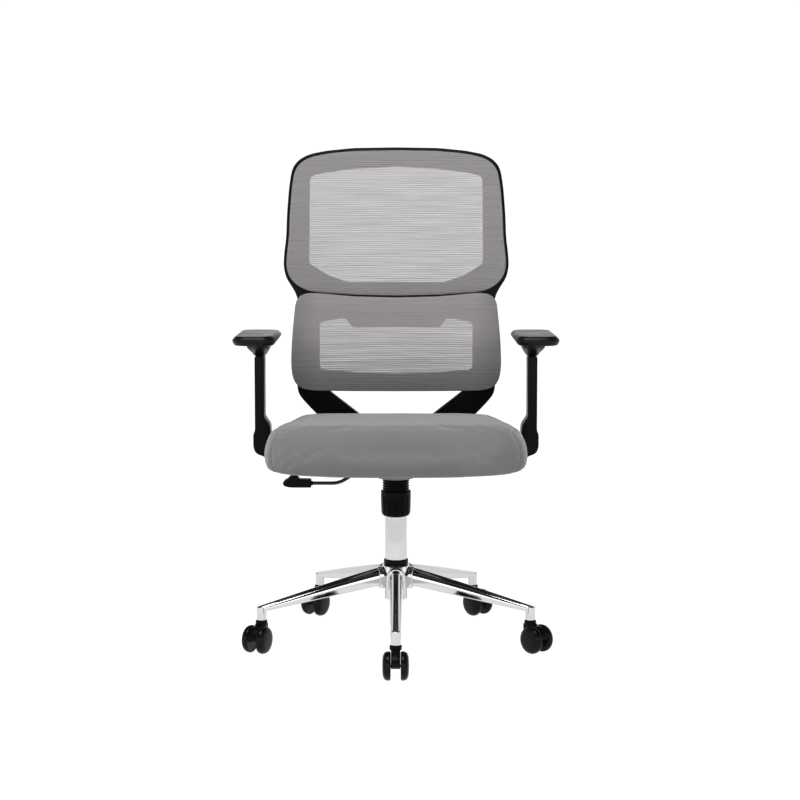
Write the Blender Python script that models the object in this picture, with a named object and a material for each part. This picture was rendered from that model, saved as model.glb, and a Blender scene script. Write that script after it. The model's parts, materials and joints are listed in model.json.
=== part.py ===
"""Mesh-back task chair on a five-star caster base, as an assembly of separate solids.

The origin is on the floor, under the column's axis. +Z is up and the sitter faces -Y.
Lengths are metres and angles are degrees, unless a line says otherwise.
"""
import math

import bmesh
import bpy
from mathutils import Matrix, Vector
from mathutils.geometry import delaunay_2d_cdt

GAP = 0.0003                    # between pieces that touch or run on each other

# Base
BASE_REACH = 0.310              # column axis to caster stem
ARM_DIRECTIONS = (-90, -18, 54, 126, 198)
CASTER_TURNS = (0.0, 40.5, 36.9, -29.9, -24.3)
HUB_BORE = 0.0253
HUB_RADIUS = 0.034
HUB_FLOOR = 0.124
HUB_TOP = 0.173
SOCKET_RADIUS = 0.0108
SOCKET_FLOOR = 0.0730
SOCKET_TOP = 0.1010

# Casters, in a frame whose origin is on the floor under the stem and whose hood faces -Y
WHEEL_RADIUS = 0.030
WHEEL_SEGMENTS = 20
WHEEL_INNER_FACE = 0.0103
WHEEL_OUTER_FACE = 0.028
CASTER_TRAIL = 0.020            # stem axis to axle
HOOD_HALF_WIDTH = 0.010
HOOD_RADIUS = 0.0285
AXLE_RADIUS = 0.003
STEM_RADIUS = 0.005
COLLAR_RADIUS = 0.013

# Column and gas lift
TUBE_RADIUS = 0.025
TUBE_WALL = 0.0015
TUBE_FLOOR = 0.095
TUBE_TOP = 0.288
BUSH_TOP = 0.296
CYLINDER_RADIUS = 0.014
CYLINDER_TOP = 0.3835
ROD_RADIUS = 0.005

# Tilt mechanism
HOUSING_FLOOR = 0.3815
HOUSING_TOP = 0.4015
HOUSING_WALL = 0.003
HOUSING_HALF = 0.052
HOUSING_REAR = 0.050
BOLT_Y = -0.078                 # axis of the tension bolt, spring and knob
NOSE_RADIUS = 0.039
TILT_PIN_Y = 0.040
TILT_PIN_Z = 0.392
TILT_PIN_RADIUS = 0.004
LEVER_Z = 0.3945
LEVER_RADIUS = 0.0034
LEVER_PIVOT_X = -0.023
KNOB_RADIUS = 0.033
KNOB_FLOOR = 0.296
KNOB_TOP = 0.354

# Seat
PLATE_FLOOR = 0.4048
BOARD_FLOOR = 0.4085
BOARD_TOP = 0.4185
BOARD_INSET = 0.040
SKIRT_FLOOR = 0.4115
SEAT_TOP = 0.4965

# Back
BACK_REAR = 0.360               # rearmost point, level with the front caster's reach in front
FRAME_DEPTH = 0.020
TONGUE_DEPTH = 0.009
TONGUE_TOP = 0.4080
TONGUE_FRONT = 0.058
BEND_TOP = 0.4575               # height where the upright part starts to turn forward
CREST_HEIGHT = 0.660            # foremost point of the upright profile
BACK_TOP = 1.110
SIDE_WRAP = 0.30                # how the back curves forward to its sides, per metre
LAYER_GAP = 0.0008

# Arms
ARM_X = 0.305
ARM_Y = 0.040
POST_HALF_X = 0.0105
POST_HALF_Y = 0.0275
POST_TOP = 0.640
SLIDE_HALF_X = 0.0065
SLIDE_HALF_Y = 0.0217
SLIDE_FLOOR = 0.495
PAD_X = 0.3085
PAD_Y = 0.015
PAD_FLOOR = 0.6675
PAD_TOP = 0.6930


def clear_scene():
    for obj in list(bpy.data.objects):
        bpy.data.objects.remove(obj, do_unlink=True)


def make_look(name, colour, roughness, metallic=0.0):
    look = bpy.data.materials.new(name)
    look.use_nodes = True
    shader = look.node_tree.nodes["Principled BSDF"]
    shader.inputs["Base Color"].default_value = (*colour, 1.0)
    shader.inputs["Roughness"].default_value = roughness
    shader.inputs["Metallic"].default_value = metallic
    return look


# ---------------------------------------------------------------- shapes as (points, faces)

def turned(profile, segments, closed=False, phase=0.0):
    """A shape turned about +Z from (radius, height) pairs, closed along its profile or ending on the axis."""
    points = []
    rings = []
    for radius, height in profile:
        if radius == 0:
            rings.append([len(points)])
            points.append((0.0, 0.0, height))
            continue
        rings.append(list(range(len(points), len(points) + segments)))
        for i in range(segments):
            angle = 2 * math.pi * (i + phase) / segments
            points.append((radius * math.cos(angle), radius * math.sin(angle), height))
    pairs = list(zip(rings, rings[1:]))
    if closed:
        pairs.append((rings[-1], rings[0]))
    faces = []
    for low, high in pairs:
        for i in range(segments):
            j = (i + 1) % segments
            if len(low) == 1 and len(high) == 1:
                continue
            if len(low) == 1:
                faces.append((low[0], high[j], high[i]))
            elif len(high) == 1:
                faces.append((low[i], low[j], high[0]))
            else:
                faces.append((low[i], low[j], high[j], high[i]))
    return points, faces


def lofted(rings):
    """A shape through rings of equal length, with a flat cap on the first and the last."""
    count = len(rings[0])
    points = [point for ring in rings for point in ring]
    faces = [tuple(range(count)), tuple(range((len(rings) - 1) * count, len(rings) * count))]
    for k in range(len(rings) - 1):
        for i in range(count):
            j = (i + 1) % count
            faces.append((k * count + i, k * count + j, (k + 1) * count + j, (k + 1) * count + i))
    return points, faces


def box(low, high):
    ring = ((low[0], low[1]), (high[0], low[1]), (high[0], high[1]), (low[0], high[1]))
    return lofted([[(x, y, z) for x, y in ring] for z in (low[2], high[2])])


def prism(outline, low, high, axis):
    """A flat outline drawn along an axis. The outline's pairs are the other two axes in order."""
    def place(pair, along):
        values = list(pair)
        values.insert("XYZ".index(axis), along)
        return tuple(values)
    return lofted([[place(pair, along) for pair in outline] for along in (low, high)])


def round_bar(path, radius, sides):
    """A round bar along a path, with its rings square to the path and flat ends."""
    points = [Vector(point) for point in path]
    rings = []
    side = None
    for i, point in enumerate(points):
        along = (points[min(i + 1, len(points) - 1)] - points[max(i - 1, 0)]).normalized()
        if side is None:
            side = along.orthogonal()
        side = (side - along * side.dot(along)).normalized()
        up = along.cross(side)
        rings.append([
            tuple(point + radius * (math.cos(a) * side + math.sin(a) * up))
            for a in (2 * math.pi * k / sides for k in range(sides))
        ])
    return lofted(rings)


def moved(shape, matrix):
    points, faces = shape
    return [tuple(matrix @ Vector(point)) for point in points], faces


def shifted(shape, x=0.0, y=0.0, z=0.0):
    return moved(shape, Matrix.Translation((x, y, z)))


def arc(centre, radius, start, end, steps):
    """Points on an arc, from the start angle to the end angle."""
    angles = (math.radians(start + (end - start) * i / steps) for i in range(steps + 1))
    return [(centre[0] + radius * math.cos(a), centre[1] + radius * math.sin(a)) for a in angles]


def rounded_rectangle(half_x, half_y, radius, steps):
    outline = []
    for start, sx, sy in ((0, 1, 1), (90, -1, 1), (180, -1, -1), (270, 1, -1)):
        centre = (sx * (half_x - radius), sy * (half_y - radius))
        outline += arc(centre, radius, start, start + 90, steps)
    return outline


def smooth_loop(points, steps):
    """A closed curve through the points, each span in the given number of steps."""
    count = len(points)
    loop = []
    for i in range(count):
        before, start, end, after = (Vector(points[(i + k) % count]) for k in (-1, 0, 1, 2))
        for step in range(steps):
            t = step / steps
            loop.append(tuple(0.5 * (
                2 * start + (end - before) * t
                + (2 * before - 5 * start + 4 * end - after) * t ** 2
                + (3 * start - before - 3 * end + after) * t ** 3
            )))
    return loop


def whole_loop(half):
    """A loop from its right half, whose first and last points lie on the middle line."""
    return list(half) + [(-x, v) for x, v in reversed(half[1:-1])]


# ---------------------------------------------------------------- objects

def mesh_of(name, shape, look, crease=35):
    points, faces = shape
    shell = bmesh.new()
    corners = [shell.verts.new(point) for point in points]
    for face in faces:
        shell.faces.new([corners[i] for i in face])
    bmesh.ops.recalc_face_normals(shell, faces=shell.faces)
    mesh = bpy.data.meshes.new(name)
    shell.to_mesh(mesh)
    shell.free()
    mesh.materials.append(look)
    mesh.shade_smooth()
    mesh.set_sharp_from_angle(angle=math.radians(crease))
    return mesh


def add_object(name, mesh, parent=None, location=(0, 0, 0), turn=0.0):
    obj = bpy.data.objects.new(name, mesh)
    bpy.context.scene.collection.objects.link(obj)
    obj.parent = parent
    obj.location = location
    obj.rotation_euler = (0, 0, math.radians(turn))
    return obj


def add(name, shape, look, origin=(0, 0, 0), parent=None, crease=35):
    """An object from a shape in the parent's frame, with its own origin at the point given."""
    placed = shifted(shape, -origin[0], -origin[1], -origin[2])
    return add_object(name, mesh_of(name, placed, look, crease), parent, origin)


def combined(name, shape, look, joins=(), cuts=(), crease=35):
    """A mesh of one shape, with others joined to it and then others cut from it."""
    body = add_object(name, mesh_of(name, shape, look, crease))
    tools = []
    for operation, shapes in (("UNION", joins), ("DIFFERENCE", cuts)):
        for i, other in enumerate(shapes):
            tool_name = f"{name}_{operation.lower()}_{i}"
            tool = add_object(tool_name, mesh_of(tool_name, other, look))
            modifier = body.modifiers.new(tool_name, "BOOLEAN")
            modifier.operation = operation
            modifier.solver = "EXACT"
            modifier.object = tool
            tools.append(tool)
    bpy.context.view_layer.update()
    graph = bpy.context.evaluated_depsgraph_get()
    mesh = bpy.data.meshes.new_from_object(body.evaluated_get(graph))
    mesh.name = name
    mesh.shade_smooth()
    mesh.set_sharp_from_angle(angle=math.radians(crease))
    for helper in [body, *tools]:
        bpy.data.objects.remove(helper, do_unlink=True)
    return mesh


# ---------------------------------------------------------------- base and column

ALONG_X = Matrix.Rotation(math.radians(90), 4, "Y")
ALONG_MINUS_X = Matrix.Rotation(math.radians(-90), 4, "Y")


def base_arm(direction):
    """An inverted channel from the hub's wall to the caster socket."""
    stations = ((0.0285, 0.0180), (0.080, 0.0170), (0.150, 0.0140), (0.230, 0.0115), (0.3115, 0.0100))
    turn = Matrix.Rotation(math.radians(direction), 4, "Z")
    wall = 0.004
    rings = []
    for reach, half in stations:
        run = (reach - 0.0285) / (0.3115 - 0.0285)
        top = 0.1700 + (0.1000 - 0.1700) * run ** 1.08
        floor = 0.1320 + (0.0880 - 0.1320) * run
        deep = (top - floor) * 0.40
        ring = [
            (reach, -half, floor), (reach, -half, top - deep), (reach, -half * 0.55, top - 0.0015),
            (reach, 0.0, top), (reach, half * 0.55, top - 0.0015), (reach, half, top - deep),
            (reach, half, floor), (reach, half - wall, floor), (reach, half - wall, top - deep),
            (reach, 0.0, top - wall), (reach, wall - half, top - deep), (reach, wall - half, floor),
        ]
        rings.append(ring)
    return moved(lofted(rings), turn)


def hub_arch(direction):
    """The raised socket, round on top, from which each base arm leaves the hub."""
    half = 0.0215
    outline = [(half, 0.1245)] + arc((0.0, 0.1485), half, 0, 180, 8) + [(-half, 0.1245)]
    rings = [[(reach, across, height) for across, height in outline] for reach in (0.0283, 0.0500)]
    return moved(lofted(rings), Matrix.Rotation(math.radians(direction), 4, "Z"))


def stem_place(number):
    angle = math.radians(ARM_DIRECTIONS[number])
    return BASE_REACH * math.cos(angle), BASE_REACH * math.sin(angle)


def make_base(looks):
    hub = turned([
        (HUB_BORE, HUB_FLOOR), (HUB_RADIUS, HUB_FLOOR), (HUB_RADIUS, 0.160),
        (0.030, HUB_TOP), (HUB_BORE, HUB_TOP),
    ], 30, closed=True)
    joins = []
    cuts = []
    for number, direction in enumerate(ARM_DIRECTIONS):
        x, y = stem_place(number)
        socket = [
            (0, SOCKET_FLOOR), (SOCKET_RADIUS, SOCKET_FLOOR), (SOCKET_RADIUS, 0.0975),
            (0.0085, SOCKET_TOP), (0, SOCKET_TOP + 0.0003),
        ]
        bore = [(0, 0.0700), (0.0053, 0.0700), (0.0053, 0.0945), (0, 0.0945)]
        joins += [base_arm(direction), hub_arch(direction), shifted(turned(socket, 16), x, y)]
        cuts.append(shifted(turned(bore, 12, phase=0.3), x, y))
    add_object("base_star", combined("base_star", hub, looks["chrome"], joins, cuts))
    ring = [
        (HUB_BORE, 0.1733), (0.0262, 0.1733), (0.0274, 0.1750),
        (0.0274, 0.1830), (0.0258, 0.1865), (HUB_BORE, 0.1865),
    ]
    add("hub_ring", turned(ring, 30, closed=True), looks["black_plastic"])


def make_column(looks):
    inside = TUBE_RADIUS - TUBE_WALL
    tube = [
        (0.0053, TUBE_FLOOR), (TUBE_RADIUS - 0.002, TUBE_FLOOR), (TUBE_RADIUS, TUBE_FLOOR + 0.002),
        (TUBE_RADIUS, TUBE_TOP), (inside, TUBE_TOP), (inside, 0.099), (0.0053, 0.099),
    ]
    bush = [
        (0.0143, 0.245), (0.0232, 0.245), (0.0232, TUBE_TOP + GAP), (0.0248, TUBE_TOP + GAP),
        (0.0248, BUSH_TOP - 0.001), (0.0238, BUSH_TOP), (0.0143, BUSH_TOP),
    ]
    bearing = [(0.0053, 0.0993), (0.0120, 0.0993), (0.0120, 0.1065), (0.0053, 0.1065)]
    rod = [(0, TUBE_FLOOR), (ROD_RADIUS, TUBE_FLOOR), (ROD_RADIUS, 0.1068), (0.008, 0.1068),
           (0.008, 0.1100), (ROD_RADIUS, 0.1100), (ROD_RADIUS, 0.250), (0, 0.250)]
    cylinder = [
        (0, 0.315), (0.0053, 0.315), (0.0053, 0.180), (CYLINDER_RADIUS, 0.180),
        (CYLINDER_RADIUS, 0.354), (0.0136, CYLINDER_TOP), (0.0033, CYLINDER_TOP),
        (0.0033, 0.3700), (0, 0.3700),
    ]
    pin = [(0, 0.3740), (0.0029, 0.3740), (0.0029, 0.3900), (0.0022, 0.3906), (0, 0.3906)]
    add("column_tube", turned(tube, 28, closed=True), looks["chrome"])
    add("column_bush", turned(bush, 28, closed=True), looks["black_plastic"])
    add("thrust_bearing", turned(bearing, 20, closed=True), looks["steel"])
    add("piston_rod", turned(rod, 16), looks["steel"])
    add("gas_cylinder", turned(cylinder, 24), looks["black_metal"])
    add("release_pin", turned(pin, 12), looks["steel"])


# ---------------------------------------------------------------- casters

def caster_hood(look):
    """The web between the wheels, with the axle's boss, the stem's block and the neck collar."""
    centre = (-CASTER_TRAIL, WHEEL_RADIUS)
    neck = 0.0125
    outline = arc(centre, 0.0065, 200, 350, 6)
    outline += [(0.0105, 0.0430), (neck, 0.0500), (neck, 0.0622), (-neck, 0.0622)]
    outline += arc(centre, HOOD_RADIUS, 74.7, 195, 12)
    web = prism(outline, -HOOD_HALF_WIDTH, HOOD_HALF_WIDTH, "X")
    collar = turned([(0, 0.0612), (COLLAR_RADIUS, 0.0612), (COLLAR_RADIUS, 0.0717),
                     (0.0122, 0.0727), (0, 0.0727)], 20)
    stem_bore = turned([(0, 0.0460), (0.0053, 0.0460), (0.0053, 0.0800), (0, 0.0800)], 12)
    axle_bore = turned([(0, -0.02), (0.0033, -0.02), (0.0033, 0.02), (0, 0.02)], 12)
    axle_bore = shifted(moved(axle_bore, ALONG_X), 0, -CASTER_TRAIL, WHEEL_RADIUS)
    return combined("caster_hood", web, look, [collar], [stem_bore, axle_bore])


def caster_wheel(look, turn):
    """A wheel closed on its outer face, with a blind bore; one flat of its tread points down."""
    corner = 1 / math.cos(math.pi / WHEEL_SEGMENTS)
    tread = WHEEL_RADIUS * corner
    profile = [
        (0, 0.0268), (0.0033, 0.0268), (0.0033, WHEEL_INNER_FACE), (0.0285, WHEEL_INNER_FACE),
        (tread, 0.0118), (tread, 0.0262), (0.0284, WHEEL_OUTER_FACE), (0, WHEEL_OUTER_FACE),
    ]
    return mesh_of("caster_wheel", moved(turned(profile, WHEEL_SEGMENTS, phase=0.5), turn), look)


def make_casters(looks):
    stem = turned([(0, 0.0465), (STEM_RADIUS, 0.0465), (STEM_RADIUS, 0.0925),
                   (0.0042, 0.0940), (0, 0.0940)], 12)
    stem_mesh = mesh_of("caster_stem", stem, looks["steel"])
    hood_mesh = caster_hood(looks["black_plastic"])
    axle = turned([(0, -0.0265), (AXLE_RADIUS, -0.0265), (AXLE_RADIUS, 0.0265), (0, 0.0265)], 12)
    axle_mesh = mesh_of("caster_axle", moved(axle, ALONG_X), looks["steel"])
    left_mesh = caster_wheel(looks["wheel_plastic"], ALONG_X)
    right_mesh = caster_wheel(looks["wheel_plastic"], ALONG_MINUS_X)
    axle_place = (0, -CASTER_TRAIL, WHEEL_RADIUS)
    for number, turn in enumerate(CASTER_TURNS):
        label = f"caster_{number + 1}"
        x, y = stem_place(number)
        swivel = add_object(f"{label}_swivel", None, None, (x, y, 0), turn)
        add_object(f"{label}_stem", stem_mesh, swivel)
        add_object(f"{label}_hood", hood_mesh, swivel)
        add_object(f"{label}_axle", axle_mesh, swivel, axle_place)
        add_object(f"{label}_wheel_left", left_mesh, swivel, axle_place)
        add_object(f"{label}_wheel_right", right_mesh, swivel, axle_place)


# ---------------------------------------------------------------- tilt mechanism

def housing_outline(inset):
    """Plan of the housing: a round nose about the bolt, widening to straight rear sides."""
    nose = NOSE_RADIUS - inset
    half = HOUSING_HALF - inset
    rear = HOUSING_REAR - inset
    return [(half, -0.028), (half, rear), (-half, rear), (-half, -0.028)] \
        + arc((0, BOLT_Y), nose, 190, 350, 12)


def make_housing(looks):
    body = prism(housing_outline(0), HOUSING_FLOOR, HOUSING_TOP, "Z")
    socket = turned([(0, 0.354), (0.0180, 0.354), (0.0190, 0.357), (0.0190, 0.3845), (0, 0.3845)], 24)
    cavity = prism(housing_outline(HOUSING_WALL), HOUSING_FLOOR + 0.003, HOUSING_TOP + 0.01, "Z")
    bore = turned([(0, 0.350), (0.01435, 0.350), (0.01435, 0.354), (0.01392, CYLINDER_TOP + 0.0002),
                   (0.01392, 0.395), (0, 0.395)], 24)
    bolt_hole = turned([(0, 0.37), (0.0065, 0.37), (0.0065, 0.395), (0, 0.395)], 12)
    pin_hole = turned([(0, -0.07), (0.0043, -0.07), (0.0043, 0.07), (0, 0.07)], 12)
    lever_notch = box((-0.060, -0.0045, 0.3885), (-0.045, 0.0045, 0.4100))
    cuts = [
        cavity, bore, shifted(bolt_hole, 0, BOLT_Y),
        shifted(moved(pin_hole, ALONG_X), 0, TILT_PIN_Y, TILT_PIN_Z), lever_notch,
    ]
    add_object("tilt_housing", combined("tilt_housing", body, looks["grey_steel"], [socket], cuts))
    pin = turned([(0, -0.0590), (0.0062, -0.0590), (0.0062, -0.0560), (TILT_PIN_RADIUS, -0.0560),
                  (TILT_PIN_RADIUS, 0.0560), (0.0062, 0.0560), (0.0062, 0.0590), (0, 0.0590)], 12)
    pin = shifted(moved(pin, ALONG_X), 0, TILT_PIN_Y, TILT_PIN_Z)
    add("tilt_pin", pin, looks["steel"], origin=(0, TILT_PIN_Y, TILT_PIN_Z))


def spring_path():
    """Six turns of the tension spring, with the wire's radius in hand at both ends."""
    turns = 6
    steps = 10
    low = 0.3200
    high = 0.3778
    path = []
    for i in range(turns * steps + 1):
        angle = 2 * math.pi * i / steps
        height = low + (high - low) * i / (turns * steps)
        path.append((0.017 * math.cos(angle), 0.017 * math.sin(angle), height))
    return path


def make_tension(looks):
    sleeve = [(0.0250, 0.3385), (0.0285, 0.3385), (0.0292, 0.3395), (0.0292, 0.3812), (0.0250, 0.3812)]
    bolt = [(0, 0.3035), (0.0050, 0.3035), (0.0050, 0.3950), (0.0090, 0.3950), (0.0090, 0.4000), (0, 0.4000)]
    washer = [(0.0053, 0.3123), (0.0240, 0.3123), (0.0240, 0.3163), (0.0053, 0.3163)]
    knob = [
        (0, 0.2980), (0.0053, 0.2980), (0.0053, 0.3120), (0.0297, 0.3120), (0.0297, KNOB_TOP),
        (KNOB_RADIUS - 0.001, KNOB_TOP), (KNOB_RADIUS, KNOB_TOP - 0.002), (0.0318, 0.3030),
        (0.0290, 0.2985), (0.0200, KNOB_FLOOR), (0, KNOB_FLOOR),
    ]
    axis = (0, BOLT_Y, 0)
    for name, shape, look in (
        ("spring_sleeve", turned(sleeve, 28, closed=True), "black_plastic"),
        ("tension_bolt", turned(bolt, 12), "steel"),
        ("spring_seat", turned(washer, 24, closed=True), "steel"),
        ("tension_knob", turned(knob, 28), "black_plastic"),
        ("tension_spring", round_bar(spring_path(), 0.0026, 6), "steel"),
    ):
        add(name, shifted(shape, 0, BOLT_Y), looks[look], origin=axis)


def make_lever(looks):
    cheeks = [(-0.0075, 0.3850), (0.0075, 0.3850), (0.0075, 0.4000), (0.0043, 0.4000),
              (0.0043, 0.3875), (-0.0043, 0.3875), (-0.0043, 0.4000), (-0.0075, 0.4000)]
    bar = prism(cheeks, -0.034, -0.012, "X")
    upright = Matrix.Rotation(math.radians(90), 4, "X")
    hole = moved(turned([(0, -0.02), (0.0018, -0.02), (0.0018, 0.02), (0, 0.02)], 10), upright)
    stub = moved(turned([(0, -0.0073), (0.0015, -0.0073), (0.0015, 0.0073), (0, 0.0073)], 10), upright)
    pivot = (LEVER_PIVOT_X, 0.0, LEVER_Z)
    bar_mesh = combined("lock_bar", bar, looks["steel"], [], [shifted(hole, *pivot)])
    add_object("lock_bar", bar_mesh)
    path = [
        (0.0160, 0, LEVER_Z), (-0.0620, 0, LEVER_Z), (-0.0670, 0, 0.3936), (-0.0715, 0, 0.3912),
        (-0.1230, 0, 0.3592), (-0.1275, 0, 0.3569), (-0.1330, 0, 0.3560), (-0.2130, 0, 0.3560),
    ]
    rod = shifted(round_bar(path, LEVER_RADIUS, 10), *(-value for value in pivot))
    rod_mesh = combined("lever_rod", rod, looks["black_metal"], [stub])
    add_object("lever_rod", rod_mesh, location=pivot)
    outline = [
        (-0.1890, 0.3490), (-0.1890, 0.3650), (-0.1900, 0.3660), (-0.2180, 0.3660), (-0.2185, 0.3750),
        (-0.2350, 0.3750), (-0.2420, 0.3660), (-0.2495, 0.3630), (-0.2530, 0.3580), (-0.2530, 0.3545),
        (-0.2500, 0.3510), (-0.2420, 0.3485), (-0.2340, 0.3475), (-0.1905, 0.3475),
    ]
    paddle = prism(outline, -0.012, 0.012, "Y")
    bore = turned([(0, 0), (0.0038, 0), (0.0038, 0.03), (0, 0.03)], 10)
    bore = shifted(moved(bore, ALONG_X), -0.2135, 0, 0.3560)
    mesh = combined("lever_paddle", shifted(paddle, *(-value for value in pivot)),
                    looks["black_plastic"], [], [shifted(bore, *(-value for value in pivot))])
    add_object("lever_paddle", mesh, location=pivot)


def make_seat_plate(looks):
    plate = prism(whole_loop([(0, -0.125), (0.070, -0.125), (0.090, -0.105), (0.090, 0.045),
                              (0.082, 0.053), (0, 0.053)]), PLATE_FLOOR, BOARD_FLOOR - GAP, "Z")
    ears = [box((side - 0.0015, 0.028, 0.3845), (side + 0.0015, 0.052, PLATE_FLOOR + 0.001))
            for side in (-0.0540, 0.0540)]
    hole = turned([(0, -0.07), (0.0043, -0.07), (0.0043, 0.07), (0, 0.07)], 12)
    hole = shifted(moved(hole, ALONG_X), 0, TILT_PIN_Y, TILT_PIN_Z)
    pivot = (0, -TILT_PIN_Y, -TILT_PIN_Z)
    mesh = combined("seat_plate", shifted(plate, *pivot), looks["grey_steel"],
                    [shifted(ear, *pivot) for ear in ears], [shifted(hole, *pivot)])
    add_object("seat_plate", mesh, location=(0, TILT_PIN_Y, TILT_PIN_Z))


# ---------------------------------------------------------------- seat

def seat_outline(inset):
    """Plan of the seat: wide behind its rounded front corners, narrowing to the back."""
    half = [(0, -0.245), (0.150, -0.243), (0.228, -0.222), (0.268, -0.178), (0.2825, -0.120),
            (0.278, -0.050), (0.266, 0.030), (0.250, 0.105), (0.229, 0.170), (0.196, 0.214),
            (0.140, 0.232), (0, 0.235)]
    loop = smooth_loop(whole_loop(half), 2)
    count = len(loop)
    inner = []
    for i, point in enumerate(loop):
        along = Vector(loop[(i + 1) % count]) - Vector(loop[i - 1])
        outward = Vector((along.y, -along.x)).normalized()
        inner.append(tuple(Vector(point) - outward * inset))
    return inner


def front_dip(y):
    """1 at the seat's front edge, 0 behind its front quarter."""
    run = min(max((-0.130 - y) / 0.090, 0.0), 1.0)
    return run * run * (3 - 2 * run)


def rear_share(y):
    """0 in front of the seat's rear corners, 1 along its rear edge, where the back frame bends up."""
    return min(max((y - 0.120) / 0.080, 0.0), 1.0)


def top_slope(y, height):
    """How the cushion's top rises to the front and falls off at the rear."""
    share = min(max((height - 0.4500) / (SEAT_TOP - 0.4500), 0.0), 1.0)
    rear = min(max((y - 0.090) / 0.110, 0.0), 1.0)
    return share * (0.047 * (0.090 - y) - 0.008 * rear * rear * (3 - 2 * rear))


def make_seat(looks):
    board = prism(seat_outline(BOARD_INSET), BOARD_FLOOR, BOARD_TOP, "Z")
    add("seat_board", board, looks["board"])
    levels = (
        (BOARD_INSET - 0.0006, BOARD_TOP + 0.0005, 0.0, 0.0), (BOARD_INSET - 0.0006, SKIRT_FLOOR, 0.0, 0.0),
        (0.014, SKIRT_FLOOR, 0.012, 0.020), (0.004, 0.4165, 0.010, 0.016), (0.0, 0.4330, 0.004, 0.006),
        (0.0, 0.4600, 0.0, 0.0), (0.003, 0.4780, 0.0, 0.0), (0.012, 0.4885, 0.0, 0.0),
        (0.030, 0.4940, 0.0, 0.0), (0.075, 0.4965, 0.0, 0.0),
    )
    rings = []
    for inset, height, dip, relief in levels:
        rings.append([
            (x, y - relief * rear_share(y), height - dip * front_dip(y) + top_slope(y, height))
            for x, y in seat_outline(inset)
        ])
    add("seat_cushion", lofted(rings), looks["seat_fabric"], crease=60)


# ---------------------------------------------------------------- back

def upright_y(height):
    """Front face of the upright back at its middle line: a lumbar crest, leaning back above it."""
    rise = height - CREST_HEIGHT
    crest = BACK_REAR - FRAME_DEPTH - 0.288 * (BACK_TOP - CREST_HEIGHT) ** 1.5
    if rise >= 0:
        return crest + 0.288 * rise ** 1.5
    return crest + 0.22 * rise ** 2


LEAN_AT_BEND = math.atan(0.44 * (CREST_HEIGHT - BEND_TOP))
BEND_RADIUS = (BEND_TOP - TONGUE_TOP) / (1 + math.sin(LEAN_AT_BEND))
BEND_CENTRE = (
    upright_y(BEND_TOP) - BEND_RADIUS * math.cos(LEAN_AT_BEND),
    TONGUE_TOP + BEND_RADIUS,
)
BEND_LENGTH = BEND_RADIUS * (math.pi / 2 + LEAN_AT_BEND)
TONGUE_START = BEND_TOP - BEND_LENGTH                       # in the sheet's own length
TONGUE_END = TONGUE_START - (BEND_CENTRE[0] - TONGUE_FRONT)


def back_place(across, along, depth):
    """A point of the bent back sheet. Along is the height, then the length round the bend and tongue."""
    if along >= BEND_TOP:
        wrap = min(max((along - BEND_TOP) / 0.14, 0.0), 1.0)
        fade = min(max((along - BEND_TOP) / 0.08, 0.0), 1.0)
        turn = LEAN_AT_BEND * (1 - fade * fade * (3 - 2 * fade))
        y = upright_y(along) - SIDE_WRAP * wrap * across ** 2 + depth * math.cos(turn)
        return across, y, along + depth * math.sin(turn)
    if along >= TONGUE_START:
        turn = LEAN_AT_BEND - (BEND_TOP - along) / BEND_RADIUS
        radius = BEND_RADIUS + depth
        return (across, BEND_CENTRE[0] + radius * math.cos(turn),
                BEND_CENTRE[1] + radius * math.sin(turn))
    return across, BEND_CENTRE[0] - (TONGUE_START - along), TONGUE_TOP - depth


def dense(loop, longest):
    """The loop with its long spans cut into even ones."""
    points = []
    for i, start in enumerate(loop):
        end = loop[(i + 1) % len(loop)]
        pieces = max(1, math.ceil(math.dist(start, end) / longest))
        for k in range(pieces):
            share = k / pieces
            points.append((start[0] + (end[0] - start[0]) * share, start[1] + (end[1] - start[1]) * share))
    return points


def inside(point, loop):
    x, v = point
    crossings = False
    for i, start in enumerate(loop):
        end = loop[i - 1]
        if (start[1] > v) != (end[1] > v):
            if x < (end[0] - start[0]) * (v - start[1]) / (end[1] - start[1]) + start[0]:
                crossings = not crossings
    return crossings


def clear_of(point, loops, distance):
    return all(math.dist(point, other) > distance for loop in loops for other in loop)


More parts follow.
